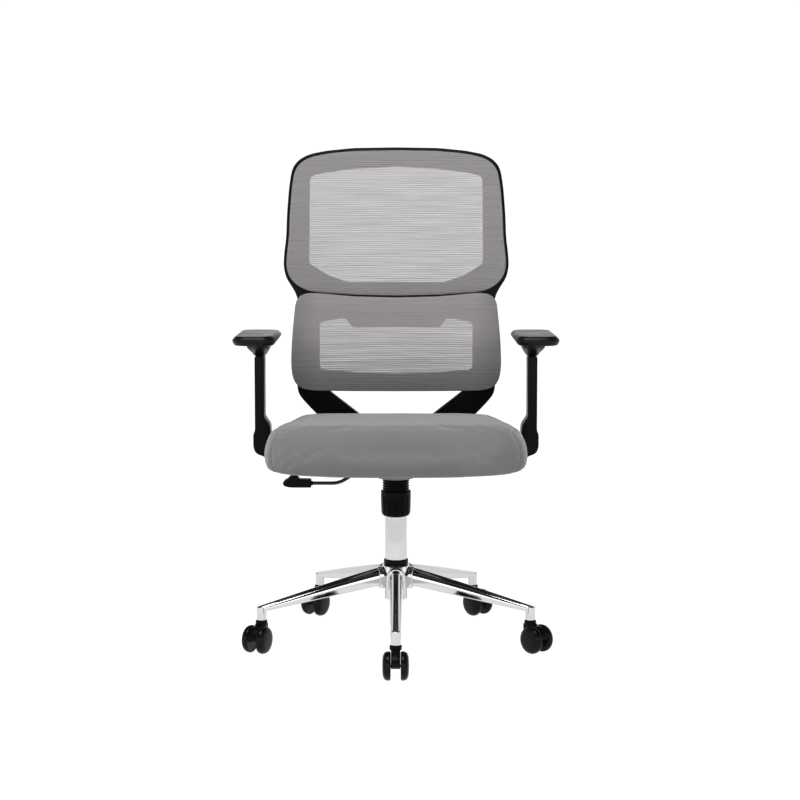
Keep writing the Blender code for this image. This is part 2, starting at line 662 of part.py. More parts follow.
def bent_plate(outline, holes, front, rear, cell=0.045):
    """A plate of the back's sheet between two depths, given as functions of (across, along)."""
    loops = [dense(loop, cell) for loop in [outline, *holes]]
    points = [point for loop in loops for point in loop]
    edges = []
    for loop in loops:
        first = points.index(loop[0])
        edges += [(first + i, first + (i + 1) % len(loop)) for i in range(len(loop))]
    low_x = min(x for x, _ in outline)
    low_v = min(v for _, v in outline)
    columns = int(2 * abs(low_x) / cell) + 1
    rows = int((max(v for _, v in outline) - low_v) / cell) + 1
    for i in range(columns + 1):
        for j in range(rows + 1):
            point = (low_x * (1 - 2 * i / columns), low_v + j * cell)
            in_plate = inside(point, loops[0]) and not any(inside(point, hole) for hole in loops[1:])
            if in_plate and clear_of(point, loops, cell * 0.5):
                points.append(point)
    found = delaunay_2d_cdt([Vector(point) for point in points], edges, [], 0, 1e-7)
    flat = [tuple(point) for point in found[0]]
    faces = []
    for face in found[2]:
        middle = tuple(sum(flat[i][k] for i in face) / 3 for k in (0, 1))
        if inside(middle, loops[0]) and not any(inside(middle, hole) for hole in loops[1:]):
            faces.append(tuple(face))
    count = len(flat)
    solid = [back_place(x, v, front(x, v)) for x, v in flat]
    solid += [back_place(x, v, rear(x, v)) for x, v in flat]
    sides = {}
    for face in faces:
        for k in range(3):
            edge = (face[k], face[(k + 1) % 3])
            sides[edge] = True
    walls = [(a, b, b + count, a + count) for a, b in sides if (b, a) not in sides]
    backs = [tuple(i + count for i in reversed(face)) for face in faces]
    used = sorted({i for face in faces for i in face})
    renumber = {old: new for new, old in enumerate(used)}
    renumber.update({old + count: new + len(used) for new, old in enumerate(used)})
    solid = [solid[i] for i in used] + [solid[i + count] for i in used]
    return solid, [tuple(renumber[i] for i in face) for face in faces + backs + walls]


def level(depth):
    return lambda across, along: depth


def frame_rear(across, along):
    """Depth of the back frame: thin in the tongue, full above the bend."""
    run = min(max((along - TONGUE_START) / (0.500 - TONGUE_START), 0.0), 1.0)
    return TONGUE_DEPTH + (FRAME_DEPTH - TONGUE_DEPTH) * run


def frame_loops():
    outline = [
        (0, BACK_TOP), (0.100, 1.1085), (0.165, 1.102), (0.205, 1.094), (0.228, 1.083), (0.243, 1.067),
        (0.249, 1.050), (0.254, 1.013), (0.258, 0.954), (0.2595, 0.897), (0.264, 0.859),
        (0.2655, 0.830), (0.2595, 0.803), (0.247, 0.784), (0.236, 0.766), (0.229, 0.740),
        (0.226, 0.640), (0.233, 0.585), (0.2345, 0.548), (0.231, 0.528), (0.2195, 0.512),
        (0.197, 0.487), (0.168, BEND_TOP), (0.118, TONGUE_START + 0.030), (0.095, TONGUE_START), (0.085, TONGUE_START - 0.020),
        (0.080, TONGUE_END + 0.010), (0.070, TONGUE_END), (0, TONGUE_END),
    ]
    upper = [
        (0, 1.076), (0.100, 1.073), (0.170, 1.061), (0.200, 1.050), (0.212, 1.032), (0.214, 0.950),
        (0.214, 0.830), (0.200, 0.800), (0.160, 0.790), (0, 0.782),
    ]
    lower = [
        (0, 0.722), (0.150, 0.724), (0.180, 0.715), (0.189, 0.690), (0.188, 0.620), (0.178, 0.575),
        (0.161, 0.537), (0.098, 0.486), (0.051, BEND_TOP - 0.010), (0.012, 0.4170), (0, 0.4130),
    ]
    return whole_loop(outline), [whole_loop(upper), whole_loop(lower)]


def upper_outline():
    return whole_loop([
        (0, 1.1035), (0.100, 1.102), (0.163, 1.0955), (0.200, 1.088), (0.222, 1.078), (0.236, 1.063),
        (0.2425, 1.047), (0.2475, 1.012), (0.2515, 0.954), (0.253, 0.897), (0.2575, 0.859),
        (0.259, 0.830), (0.253, 0.807), (0.238, 0.788), (0.218, 0.7755), (0.195, 0.7685),
        (0.100, 0.7590), (0, 0.7560),
    ])


def upper_window():
    return whole_loop([
        (0, 1.064), (0.100, 1.0585), (0.170, 1.049), (0.194, 1.042), (0.2045, 1.030), (0.2045, 0.836),
        (0.160, 0.808), (0.113, 0.792), (0, 0.792),
    ])


def lumbar_outline():
    return whole_loop([
        (0, 0.752), (0.100, 0.755), (0.170, 0.763), (0.205, 0.7655), (0.224, 0.760), (0.234, 0.745),
        (0.240, 0.700), (0.244, 0.654), (0.246, 0.606), (0.244, 0.576), (0.237, 0.556),
        (0.222, 0.543), (0.195, 0.538), (0.100, 0.5365), (0, 0.536),
    ])


def lumbar_window():
    return whole_loop([
        (0, 0.687), (0.102, 0.687), (0.119, 0.709), (0.160, 0.707), (0.173, 0.702), (0.179, 0.690),
        (0.179, 0.604), (0.173, 0.592), (0.160, 0.587), (0.080, 0.580), (0, 0.578),
    ])


def make_back(looks):
    outline, holes = frame_loops()
    add("back_frame", bent_plate(outline, holes, level(0), frame_rear), looks["black_plastic"])
    strap = prism(rounded_rectangle(0.045, 0.0575, 0.010, 3), 0.3955, TONGUE_TOP - TONGUE_DEPTH - GAP, "Z")
    add("back_bracket", shifted(strap, 0, 0.1325), looks["grey_steel"])
    mesh_depth = 0.003
    rear = -LAYER_GAP
    front = rear - 0.008
    add("upper_carrier", bent_plate(upper_outline(), [upper_window()], level(front), level(rear)),
        looks["carrier"])
    rear = front - LAYER_GAP
    add("upper_mesh", bent_plate(upper_outline(), [], level(rear - mesh_depth), level(rear)),
        looks["mesh_fabric"])
    rear = -0.019
    front = rear - 0.008
    carrier = bent_plate(lumbar_outline(), [lumbar_window()], level(front), level(rear))
    posts = []
    for side in (-1, 1):
        for height in (0.600, 0.700):
            x, y, z = back_place(side * 0.205, height, -LAYER_GAP)
            posts.append(box((x - 0.009, y - 0.0225, z - 0.015), (x + 0.009, y - 0.0015, z + 0.015)))
    add_object("lumbar_carrier", combined("lumbar_carrier", carrier, looks["carrier"], posts))
    rear = front - LAYER_GAP
    add("lumbar_mesh", bent_plate(lumbar_outline(), [], level(rear - mesh_depth), level(rear)),
        looks["mesh_fabric"])


# ---------------------------------------------------------------- arms

def arm_support(side, look):
    """An L in one piece: the foot under the seat board, and the post that holds the slide."""
    outer = POST_HALF_X
    profile = [
        (0.1300, 0.3992), (0.2720, 0.3992), (0.2860, 0.4050), (0.2960, 0.4140), (0.3090, 0.4180),
        (0.3165, 0.4250), (0.3195, 0.4360), (0.3195, 0.4640), (ARM_X + outer, 0.4720),
        (ARM_X + outer, POST_TOP), (ARM_X - outer, POST_TOP), (ARM_X - outer, 0.5010),
        (0.2820, 0.4830), (0.2790, 0.4350), (0.2740, 0.4200), (0.2600, 0.4100), (0.2400, 0.4079),
        (0.1300, 0.4079),
    ]
    post = prism([(side * x, z) for x, z in profile], ARM_Y - POST_HALF_Y, ARM_Y + POST_HALF_Y, "Y")
    slot = box((side * ARM_X - SLIDE_HALF_X - GAP, ARM_Y - SLIDE_HALF_Y - GAP, SLIDE_FLOOR - 0.003),
               (side * ARM_X + SLIDE_HALF_X + GAP, ARM_Y + SLIDE_HALF_Y + GAP, POST_TOP + 0.02))
    return combined("arm_support", post, look, [], [slot])


def arm_head(side, look):
    """The slide bar and the flared head that carries the pad; its outer side holds the button."""
    levels = (
        (SLIDE_FLOOR, SLIDE_HALF_X, SLIDE_HALF_X, SLIDE_HALF_Y, 0.0),
        (POST_TOP + GAP, SLIDE_HALF_X, SLIDE_HALF_X, SLIDE_HALF_Y, 0.0),
        (POST_TOP + GAP, 0.0112, 0.0125, 0.0265, 0.0),
        (0.6437, 0.0130, 0.0165, 0.0300, -0.001),
        (0.6547, 0.0190, 0.0222, 0.0520, -0.010),
        (0.6600, 0.0222, 0.0248, 0.0660, -0.016),
        (0.6670, 0.0232, 0.0258, 0.0780, -0.020),
    )
    rings = []
    for height, outboard, inboard, half_y, shift in levels:
        cut = 0.25 * outboard
        ring = [(outboard, half_y - cut), (outboard - cut, half_y), (cut - inboard, half_y),
                (-inboard, half_y - cut), (-inboard, cut - half_y), (cut - inboard, -half_y),
                (outboard - cut, -half_y), (outboard, cut - half_y)]
        rings.append([(side * (ARM_X + u), ARM_Y + shift + y, height) for u, y in ring])
    ends = sorted((side * (ARM_X + 0.0095), side * (ARM_X + 0.0400)))
    pocket = box((ends[0], ARM_Y - 0.0113, 0.6448), (ends[1], ARM_Y + 0.0113, 0.6562))
    return combined("arm_head", lofted(rings), look, [], [pocket])


def arm_button(side):
    outline = [(0.0125, 0.6451), (0.0150, 0.6451), (0.0200, 0.6559), (0.0125, 0.6559)]
    return prism([(side * (ARM_X + u), z) for u, z in outline], ARM_Y - 0.011, ARM_Y + 0.011, "Y")


def arm_pad(side):
    """A pad whose sides run out to a ridge at half height."""
    middle = (PAD_FLOOR + PAD_TOP) / 2
    rings = []
    for height, half_x, half_y, corner in (
        (PAD_FLOOR, 0.0420, 0.1205, 0.026), (middle, 0.0465, 0.1250, 0.030), (PAD_TOP, 0.0405, 0.1190, 0.026),
    ):
        rings.append([(side * PAD_X + x, PAD_Y + y, height)
                      for x, y in rounded_rectangle(half_x, half_y, corner, 5)])
    return lofted(rings)


def make_arms(looks):
    for side, label in ((1, "left"), (-1, "right")):
        add_object(f"arm_support_{label}", arm_support(side, looks["black_plastic"]))
        add_object(f"arm_head_{label}", arm_head(side, looks["black_plastic"]))
        add(f"arm_button_{label}", arm_button(side), looks["grey_plastic"])
        add(f"arm_pad_{label}", arm_pad(side), looks["pad_rubber"])


def make_looks():
    return {
        "chrome": make_look("chrome", (0.82, 0.82, 0.83), 0.08, 1.0),
        "steel": make_look("steel", (0.55, 0.55, 0.56), 0.30, 1.0),
        "grey_steel": make_look("grey_steel", (0.30, 0.29, 0.29), 0.45, 0.6),
        "black_metal": make_look("black_metal", (0.012, 0.012, 0.013), 0.35, 0.6),
        "black_plastic": make_look("black_plastic", (0.010, 0.010, 0.011), 0.42),
        "wheel_plastic": make_look("wheel_plastic", (0.010, 0.010, 0.011), 0.35),
        "grey_plastic": make_look("grey_plastic", (0.20, 0.20, 0.20), 0.45),
        "pad_rubber": make_look("pad_rubber", (0.030, 0.030, 0.031), 0.55),
        "carrier": make_look("carrier", (0.12, 0.12, 0.12), 0.55),
        "mesh_fabric": make_look("mesh_fabric", (0.22, 0.215, 0.215), 0.80),
        "seat_fabric": make_look("seat_fabric", (0.20, 0.19, 0.19), 0.90),
        "board": make_look("board", (0.020, 0.020, 0.021), 0.60),
    }


def build():
    clear_scene()
    looks = make_looks()
    make_base(looks)
    make_column(looks)
    make_casters(looks)
    make_housing(looks)
    make_tension(looks)
    make_lever(looks)
    make_seat_plate(looks)
    make_seat(looks)
    make_back(looks)
    make_arms(looks)


build()
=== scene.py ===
"""Looks of the mesh-back task chair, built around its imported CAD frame.

Lengths are metres in the frame's own axes: floor at z = 0, the sitter faces -Y. Each section below
holds one group of pieces; the last lines place the floor, the light and the camera.
"""
import json
import math

import bmesh
import bpy
from mathutils import Matrix, Vector, noise
from mathutils.bvhtree import BVHTree
from mathutils.geometry import delaunay_2d_cdt


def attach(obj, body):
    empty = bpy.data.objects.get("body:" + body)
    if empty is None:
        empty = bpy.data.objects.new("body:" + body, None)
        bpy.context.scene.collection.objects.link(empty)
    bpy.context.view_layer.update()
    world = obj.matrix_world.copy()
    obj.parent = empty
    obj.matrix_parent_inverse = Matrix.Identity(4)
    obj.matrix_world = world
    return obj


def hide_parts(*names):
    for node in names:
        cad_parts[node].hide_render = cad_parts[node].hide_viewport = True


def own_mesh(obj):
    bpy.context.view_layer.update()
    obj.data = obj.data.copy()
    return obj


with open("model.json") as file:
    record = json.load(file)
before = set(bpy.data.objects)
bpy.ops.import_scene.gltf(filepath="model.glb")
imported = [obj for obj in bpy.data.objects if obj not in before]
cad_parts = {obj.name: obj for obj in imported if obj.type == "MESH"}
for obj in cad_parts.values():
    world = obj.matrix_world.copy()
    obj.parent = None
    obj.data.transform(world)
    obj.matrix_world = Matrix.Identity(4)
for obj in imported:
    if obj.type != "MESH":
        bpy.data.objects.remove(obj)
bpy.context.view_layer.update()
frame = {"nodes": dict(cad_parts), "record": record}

# Base and casters
BASE_REACH = 0.310
ARM_DIRECTIONS = (-90, -18, 54, 126, 198)
CASTER_TURNS = (0.0, 40.5, 36.9, -29.9, -24.3)
CASTER_TRAIL = 0.020
WHEEL_RADIUS = 0.030
ARM_START = 0.0290
ARM_END = 0.3115
ARM_WALL = 0.0035
CROWN_STEPS = 56
CROWN_POWER = 1.12

# Mechanism
BOLT_Y = -0.078
KNOB_FLUTES = 14
FLUTE_DEPTH = 0.0026
COIL_RADIUS = 0.017
WIRE_RADIUS = 0.0026
COIL_LOW = 0.3241
COIL_HIGH = 0.3778
LEVER_Z = 0.3945
PADDLE_Z = 0.3560

# Seat
SEAT_TOP = 0.4965
SKIRT_FLOOR = 0.4115
BOARD_FLOOR = 0.4085
BOARD_TOP = 0.4185
BOARD_INSET = 0.040

# Back sheet
BACK_REAR = 0.360
FRAME_DEPTH = 0.020
TONGUE_DEPTH = 0.009
TONGUE_TOP = 0.4080
TONGUE_FRONT = 0.058
BEND_TOP = 0.4575
CREST_HEIGHT = 0.660
BACK_TOP = 1.110
SIDE_WRAP = 0.30
UPPER_CARRIER_FRONT = -0.0088
LUMBAR_CARRIER_FRONT = -0.0270
CARRIER_DEPTH = 0.008
CLOTH_LIFT = 0.0012
CLOTH_WRAP = 0.0088

# Weaves
ROW_PITCH = 0.0018
COURSE_PITCH = 0.0051
COLUMN_PITCH = 0.0016
THREAD_PITCH = 0.0011

# Arms
ARM_X = 0.305
ARM_Y = 0.040
POST_TOP = 0.640
PAD_X = 0.3085
PAD_Y = 0.015
PAD_FLOOR = 0.6722
PAD_TOP = 0.6930

# Fasteners
SCREW_RADIUS = 0.0062

# Camera
LENS_LENGTH = 79.4
FRAMING_SHIFT = -0.0704
CAMERA_SPOT = (0.009, -3.9, 1.01)
CAMERA_PITCH = 5.0

ALONG_X = Matrix.Rotation(math.radians(90), 4, "Y")
ALONG_MINUS_X = Matrix.Rotation(math.radians(-90), 4, "Y")
FACING_DOWN = Matrix.Rotation(math.pi, 4, "X")


# ---- shapes as (points, faces)

def clamped(value):
    return min(max(value, 0.0), 1.0)


def smoothed(share):
    return share * share * (3 - 2 * share)


def walls(count, rings, first=0):
    """Quads between successive closed rings of equal length."""
    faces = []
    for k in range(rings - 1):
        low, high = first + k * count, first + (k + 1) * count
        for i in range(count):
            j = (i + 1) % count
            faces.append((low + i, low + j, high + j, high + i))
    return faces


def quarter(radius, steps):
    """(cut, lift) pairs of a quarter-round edge, from the outer face to the side."""
    angles = (math.pi / 2 * k / steps for k in range(steps + 1))
    return [(radius * (1 - math.sin(angle)), radius * (1 - math.cos(angle))) for angle in angles]


def lathe(profile, segments, closed=False):
    """A shape turned about +Z from (radius, height) pairs."""
    points = []
    rings = []
    for radius, height in profile:
        if radius < 1e-7:
            rings.append([len(points)])
            points.append((0.0, 0.0, height))
            continue
        rings.append(list(range(len(points), len(points) + segments)))
        for i in range(segments):
            angle = 2 * math.pi * i / segments
            points.append((radius * math.cos(angle), radius * math.sin(angle), height))
    pairs = list(zip(rings, rings[1:]))
    if closed:
        pairs.append((rings[-1], rings[0]))
    faces = []
    for low, high in pairs:
        for i in range(segments):
            j = (i + 1) % segments
            if len(low) == 1 and len(high) == 1:
                continue
            if len(low) == 1:
                faces.append((low[0], high[j], high[i]))
            elif len(high) == 1:
                faces.append((low[i], low[j], high[0]))
            else:
                faces.append((low[i], low[j], high[j], high[i]))
    return points, faces


def loft(rings):
    """A closed shape through rings of equal length."""
    count = len(rings[0])
    points = [tuple(point) for ring in rings for point in ring]
    faces = [tuple(range(count)), tuple(range((len(rings) - 1) * count, len(rings) * count))]
    return points, faces + walls(count, len(rings))


def merged(*shapes):
    points = []
    faces = []
    for more_points, more_faces in shapes:
        start = len(points)
        points += more_points
        faces += [tuple(start + i for i in face) for face in more_faces]
    return points, faces


def moved(shape, matrix):
    points, faces = shape
    return [tuple(matrix @ Vector(point)) for point in points], faces


def shifted(shape, x=0.0, y=0.0, z=0.0):
    return moved(shape, Matrix.Translation((x, y, z)))


def soften(line, radius, steps=3, closed=False):
    """The line with its corners rounded."""
    result = []
    count = len(line)
    for i, point in enumerate(line):
        if not closed and i in (0, count - 1):
            result.append(tuple(point))
            continue
        corner = Vector(point)
        before = Vector(line[i - 1]) - corner
        after = Vector(line[(i + 1) % count]) - corner
        start = corner + before.normalized() * min(radius, before.length * 0.45)
        end = corner + after.normalized() * min(radius, after.length * 0.45)
        for k in range(steps + 1):
            t = k / steps
            result.append(tuple((1 - t) ** 2 * start + 2 * t * (1 - t) * corner + t * t * end))
    return result


def arc(centre, radius, start, end, steps):
    angles = (math.radians(start + (end - start) * i / steps) for i in range(steps + 1))
    return [(centre[0] + radius * math.cos(a), centre[1] + radius * math.sin(a)) for a in angles]


def rounded_rectangle(half_x, half_y, radius, steps):
    outline = []
    for start, sx, sy in ((0, 1, 1), (90, -1, 1), (180, -1, -1), (270, 1, -1)):
        centre = (sx * (half_x - radius), sy * (half_y - radius))
        outline += arc(centre, radius, start, start + 90, steps)
    return outline


def curve_span(four_points, steps):
    """A smooth span between the middle two of four points, without its end."""
    before, start, end, after = (Vector(point) for point in four_points)
    return [0.5 * (
        2 * start + (end - before) * t
        + (2 * before - 5 * start + 4 * end - after) * t ** 2
        + (3 * start - before - 3 * end + after) * t ** 3
    ) for t in (step / steps for step in range(steps))]


def smooth_loop(points, steps):
    """A closed curve through the points, each span in the given number of steps."""
    loop = []
    for i in range(len(points)):
        four = [points[(i + k) % len(points)] for k in (-1, 0, 1, 2)]
        loop += [tuple(point) for point in curve_span(four, steps)]
    return loop


def whole_loop(half):
    return list(half) + [(-x, v) for x, v in reversed(half[1:-1])]


def even(loop, spacing):
    """The loop's own line, cut again into even steps."""
    lengths = [math.dist(loop[i], loop[(i + 1) % len(loop)]) for i in range(len(loop))]
    count = max(8, round(sum(lengths) / spacing))
    step = sum(lengths) / count
    result = []
    i = 0
    run = 0.0
    for k in range(count):
        target = k * step
        while run + lengths[i] < target - 1e-12:
            run += lengths[i]
            i += 1
        share = (target - run) / lengths[i] if lengths[i] else 0.0
        start, end = loop[i], loop[(i + 1) % len(loop)]
        result.append(tuple(a + (b - a) * share for a, b in zip(start, end)))
    return result


def signed_area(loop):
    return 0.5 * sum(
        loop[i - 1][0] * loop[i][1] - loop[i][0] * loop[i - 1][1] for i in range(len(loop)))


def inset(loop, distance):
    """The loop moved into its own inside by the distance, or outward if it is negative."""
    turn = 1 if signed_area(loop) > 0 else -1
    count = len(loop)
    result = []
    for i, point in enumerate(loop):
        along = Vector(loop[(i + 1) % count]) - Vector(loop[i - 1])
        outward = Vector((along.y, -along.x)).normalized() * turn
        result.append(tuple(Vector(point) - outward * distance))
    return result


def slab(outline, low, high, radius, axis, steps=3):
    """An outline drawn along an axis between two levels, with rounded edges."""
    def place(pair, along):
        values = list(pair)
        values.insert("XYZ".index(axis), along)
        return tuple(values)
    edge = quarter(radius, steps)
    rings = [(cut, low + lift) for cut, lift in edge] + [(lift, high - cut) for cut, lift in edge]
    return loft([[place(pair, along) for pair in inset(outline, cut)] for cut, along in rings])


def tube(path, radius, sides):
    """A round bar along a path."""
    points = [Vector(point) for point in path]
    count = len(points)
    rings = []
    side = None
    for i, point in enumerate(points):
        along = (points[min(i + 1, count - 1)] - points[max(i - 1, 0)]).normalized()
        if side is None:
            side = along.orthogonal()
        side = (side - along * side.dot(along)).normalized()
        up = along.cross(side)
        rings.append([
            tuple(point + radius * (math.cos(a) * side + math.sin(a) * up))
            for a in (2 * math.pi * k / sides for k in range(sides))
        ])
    return loft(rings)


# ---- pieces

def mesh_of(name, shape, look, crease=40):
    """A mesh with its faces pointing out, smooth but for edges sharper than the crease, in degrees."""
    points, faces = shape
    shell = bmesh.new()
    corners = [shell.verts.new(point) for point in points]
    for face in faces:
        if len(set(face)) > 2:
            shell.faces.new([corners[i] for i in face])
    bmesh.ops.remove_doubles(shell, verts=shell.verts, dist=1e-6)
    wide = [face for face in shell.faces if len(face.verts) > 4]
    bmesh.ops.triangulate(shell, faces=wide, ngon_method="EAR_CLIP")
    bmesh.ops.recalc_face_normals(shell, faces=shell.faces)
    mesh = bpy.data.meshes.new(name)
    shell.to_mesh(mesh)
    shell.free()
    mesh.materials.append(look)
    mesh.shade_smooth()
    mesh.set_sharp_from_angle(angle=math.radians(crease))
    return mesh


def added(name, data):
    obj = bpy.data.objects.new(name, data)
    bpy.context.scene.collection.objects.link(obj)
    return obj


def as_shown(obj):
    """A mesh of the object with its modifiers carried out; the object keeps none of them."""
    graph = bpy.context.evaluated_depsgraph_get()
    mesh = bpy.data.meshes.new_from_object(obj.evaluated_get(graph))
    obj.modifiers.clear()
    return mesh


def place(name, mesh, body, slot, nodes=(), matrix=None):
    """A piece that rides on a body and stands for CAD nodes; its slot argument is not used."""
    obj = added(name, mesh)
    if matrix is not None:
        obj.matrix_world = matrix
    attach(obj, body)
    if nodes:
        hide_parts(*nodes)
    return obj


def piece(name, shape, look, body, nodes=(), crease=40, slot=None):
    return place(name, mesh_of(name, shape, LOOKS[look], crease), body, slot or look, nodes)


# ---- looks

class Look:
    """A material under construction: one shader and short calls that add nodes."""

    def __init__(self, name, colour, roughness, metallic=0.0):
        self.material = bpy.data.materials.new(name)
        self.material.use_nodes = True
        self.tree = self.material.node_tree
        self.shader = self.tree.nodes["Principled BSDF"]
        self.set("Base Color", (*colour, 1.0))
        self.set("Roughness", roughness)
        self.set("Metallic", metallic)
        self.colour = colour
        self.place = self.node("ShaderNodeTexCoord").outputs["Object"]

    def set(self, socket, value):
        self.shader.inputs[socket].default_value = value

    def node(self, kind, **values):
        node = self.tree.nodes.new(kind)
        for key, value in values.items():
            setattr(node, key, value)
        return node

    def link(self, source, target):
        self.tree.links.new(source, target)

    def stretched(self, x, y, z):
        scale = self.node("ShaderNodeMapping")
        scale.inputs["Scale"].default_value = (x, y, z)
        self.link(self.place, scale.inputs["Vector"])
        return scale.outputs["Vector"]

    def noise(self, scale, detail=3.0, at=None, roughness=0.5):
        node = self.node("ShaderNodeTexNoise")
        node.inputs["Scale"].default_value = scale
        node.inputs["Detail"].default_value = detail
        node.inputs["Roughness"].default_value = roughness
        self.link(at or self.place, node.inputs["Vector"])
        return node.outputs["Fac"]

    def cells(self, scale, at=None):
        node = self.node("ShaderNodeTexVoronoi")
        node.inputs["Scale"].default_value = scale
        self.link(at or self.place, node.inputs["Vector"])
        return node.outputs["Distance"]

    def math(self, operation, first, second=0.0, third=0.0):
        node = self.node("ShaderNodeMath", operation=operation)
        for socket, value in zip(node.inputs, (first, second, third)):
            if isinstance(value, (int, float)):
                socket.default_value = value
            else:
                self.link(value, socket)
        return node.outputs["Value"]

    def mapped(self, value, low, high, to_low, to_high):
        node = self.node("ShaderNodeMapRange")
        self.link(value, node.inputs["Value"])
        limits = {"From Min": low, "From Max": high, "To Min": to_low, "To Max": to_high}
        for key, number in limits.items():
            node.inputs[key].default_value = number
        return node.outputs["Result"]

    def tinted(self, value, darker, lighter, low=0.3, high=0.7):
        """The base colour runs between two shades of itself with a value."""
        node = self.node("ShaderNodeValToRGB")
        for element, position, shade in zip(node.color_ramp.elements, (low, high), (darker, lighter)):
            element.position = position
            element.color = (*(min(c * shade, 1.0) for c in self.colour), 1.0)
        self.link(value, node.inputs["Fac"])
        self.link(node.outputs["Color"], self.shader.inputs["Base Color"])
        return node.outputs["Color"]

    def rough(self, value, low, high, start=0.3, end=0.7):
        self.link(self.mapped(value, start, end, low, high), self.shader.inputs["Roughness"])

    def wave(self, value, pitch):
        """A sine along a length, with the given pitch in metres."""
        return self.math("SINE", self.math("MULTIPLY", value, 2 * math.pi / pitch))

    def bump(self, height, strength, distance, under=None):
        node = self.node("ShaderNodeBump")
        node.inputs["Strength"].default_value = strength
        node.inputs["Distance"].default_value = distance
        self.link(height, node.inputs["Height"])
        if under is not None:
            self.link(under, node.inputs["Normal"])
        self.link(node.outputs["Normal"], self.shader.inputs["Normal"])
        return node.outputs["Normal"]


def chrome_look():
    """Polished plate with faint smears."""
    look = Look("chrome", (0.58, 0.58, 0.59), 0.05, 1.0)
    look.rough(look.noise(38.0, 4.0), 0.035, 0.085)
    look.bump(look.noise(9.0, 1.0), 0.03, 0.001)
    return look.material


def steel_look():
    look = Look("bare_steel", (0.56, 0.56, 0.57), 0.3, 1.0)
    look.tinted(look.noise(60.0, 4.0), 0.80, 1.08)
    look.rough(look.noise(140.0, 3.0), 0.24, 0.40)
    look.bump(look.noise(900.0, 2.0), 0.10, 0.0002)
    return look.material


def coated_look(name, colour, roughness, metallic, grain):
    """Powder coat: fine orange peel and faint patches of tone."""
    look = Look(name, colour, roughness, metallic)
    look.tinted(look.noise(22.0, 5.0), 0.88, 1.14)
    look.rough(look.noise(70.0, 4.0), roughness - 0.07, roughness + 0.08)
    look.bump(look.noise(grain, 3.0), 0.25, 0.0002)
    return look.material


def plastic_look(name, colour, roughness, grain, depth, specular=0.055):
    """Moulded plastic: spark-eroded grain, faint gloss patches and paler worn corners."""
    look = Look(name, colour, roughness)
    look.set("Specular IOR Level", specular)
    patches = look.noise(17.0, 4.0)
    worn = look.node("ShaderNodeNewGeometry").outputs["Pointiness"]
    wear = look.mapped(worn, 0.52, 0.62, 0.0, 0.35)
    mixed = look.math("ADD", patches, wear)
    look.tinted(mixed, 0.85, 1.55, 0.30, 1.05)
    look.rough(patches, roughness - 0.06, roughness + 0.07)
    fine = look.bump(look.cells(grain), 0.22, depth)
    look.bump(look.noise(grain * 0.4, 3.0), 0.10, depth, under=fine)
    return look.material


def pad_look():
    look = Look("pad_rubber", (0.0045, 0.0042, 0.0046), 0.32)
    look.set("Specular IOR Level", 0.13)
    patches = look.noise(24.0, 4.0)
    look.tinted(patches, 0.80, 1.35)
    look.rough(patches, 0.27, 0.38)
    pebble = look.bump(look.cells(780.0), 0.30, 0.00025)
    look.bump(look.noise(260.0, 2.0), 0.12, 0.0003, under=pebble)
    return look.material


def mesh_look(name, colour, cover, contrast, slub, painted_shade=1.0):
    """Knitted mesh: long even courses across, fine rows and columns of thread, and faint slubs.
    A share under 1 in the last argument paints shade into the base colour: darker low on the panel and
    towards its sides."""
    look = Look(name, colour, 0.78)
    axes = look.node("ShaderNodeSeparateXYZ")
    look.link(look.place, axes.inputs["Vector"])
    pull = look.math("MULTIPLY_ADD", look.noise(9.0, 1.0), 0.0030, axes.outputs["Z"])
    rows = look.wave(axes.outputs["Z"], ROW_PITCH)
    courses = look.wave(pull, COURSE_PITCH)
    columns = look.wave(axes.outputs["X"], COLUMN_PITCH)
    slubs = look.noise(1.0, 2.0, at=look.stretched(7.0, 7.0, 420.0), roughness=0.55)
    fading = look.mapped(look.noise(1.0, 1.0, at=look.stretched(12.0, 12.0, 40.0)), 0.3, 0.7, 0.35, 1.0)
    lines = look.math("MULTIPLY", courses, fading)
    lines = look.math("MULTIPLY_ADD", look.math("SUBTRACT", slubs, 0.5), slub, lines)
    gaps = look.math("MULTIPLY_ADD", rows, 0.10, cover)
    gaps = look.math("MULTIPLY_ADD", columns, 0.06, gaps)
    gaps = look.math("MULTIPLY_ADD", lines, contrast, gaps)
    clamp = look.node("ShaderNodeClamp")
    look.link(gaps, clamp.inputs["Value"])
    look.link(clamp.outputs["Result"], look.shader.inputs["Alpha"])
    tint = look.tinted(look.math("MULTIPLY_ADD", lines, -0.12, 0.5), 0.88, 1.10)
    # Painted shade: the base colour is multiplied darker low on the panel and towards its sides, in place
    # of the shading that light gives the curved panel.
    if painted_shade < 1:
        low = look.mapped(axes.outputs["Z"], 0.555, 0.665, painted_shade, 1.0)
        side = look.mapped(look.math("ABSOLUTE", axes.outputs["X"]), 0.185, 0.240, 1.0, painted_shade + 0.2)
        shade = look.math("MULTIPLY", low, side)
        grey = look.node("ShaderNodeCombineColor")
        for channel in ("Red", "Green", "Blue"):
            look.link(shade, grey.inputs[channel])
        deep = look.node("ShaderNodeMix", data_type="RGBA", blend_type="MULTIPLY")
        deep.inputs["Factor"].default_value = 1.0
        first, second, result = deep.inputs[6], deep.inputs[7], deep.outputs[2]
        look.link(tint, first)
        look.link(grey.outputs["Color"], second)
        look.link(result, look.shader.inputs["Base Color"])
    look.rough(slubs, 0.70, 0.86)
    weave = look.bump(rows, 0.35, 0.0004)
    look.bump(columns, 0.25, 0.0003, under=weave)
    look.set("Sheen Weight", 0.12)
    look.set("Sheen Roughness", 0.5)
    return look.material


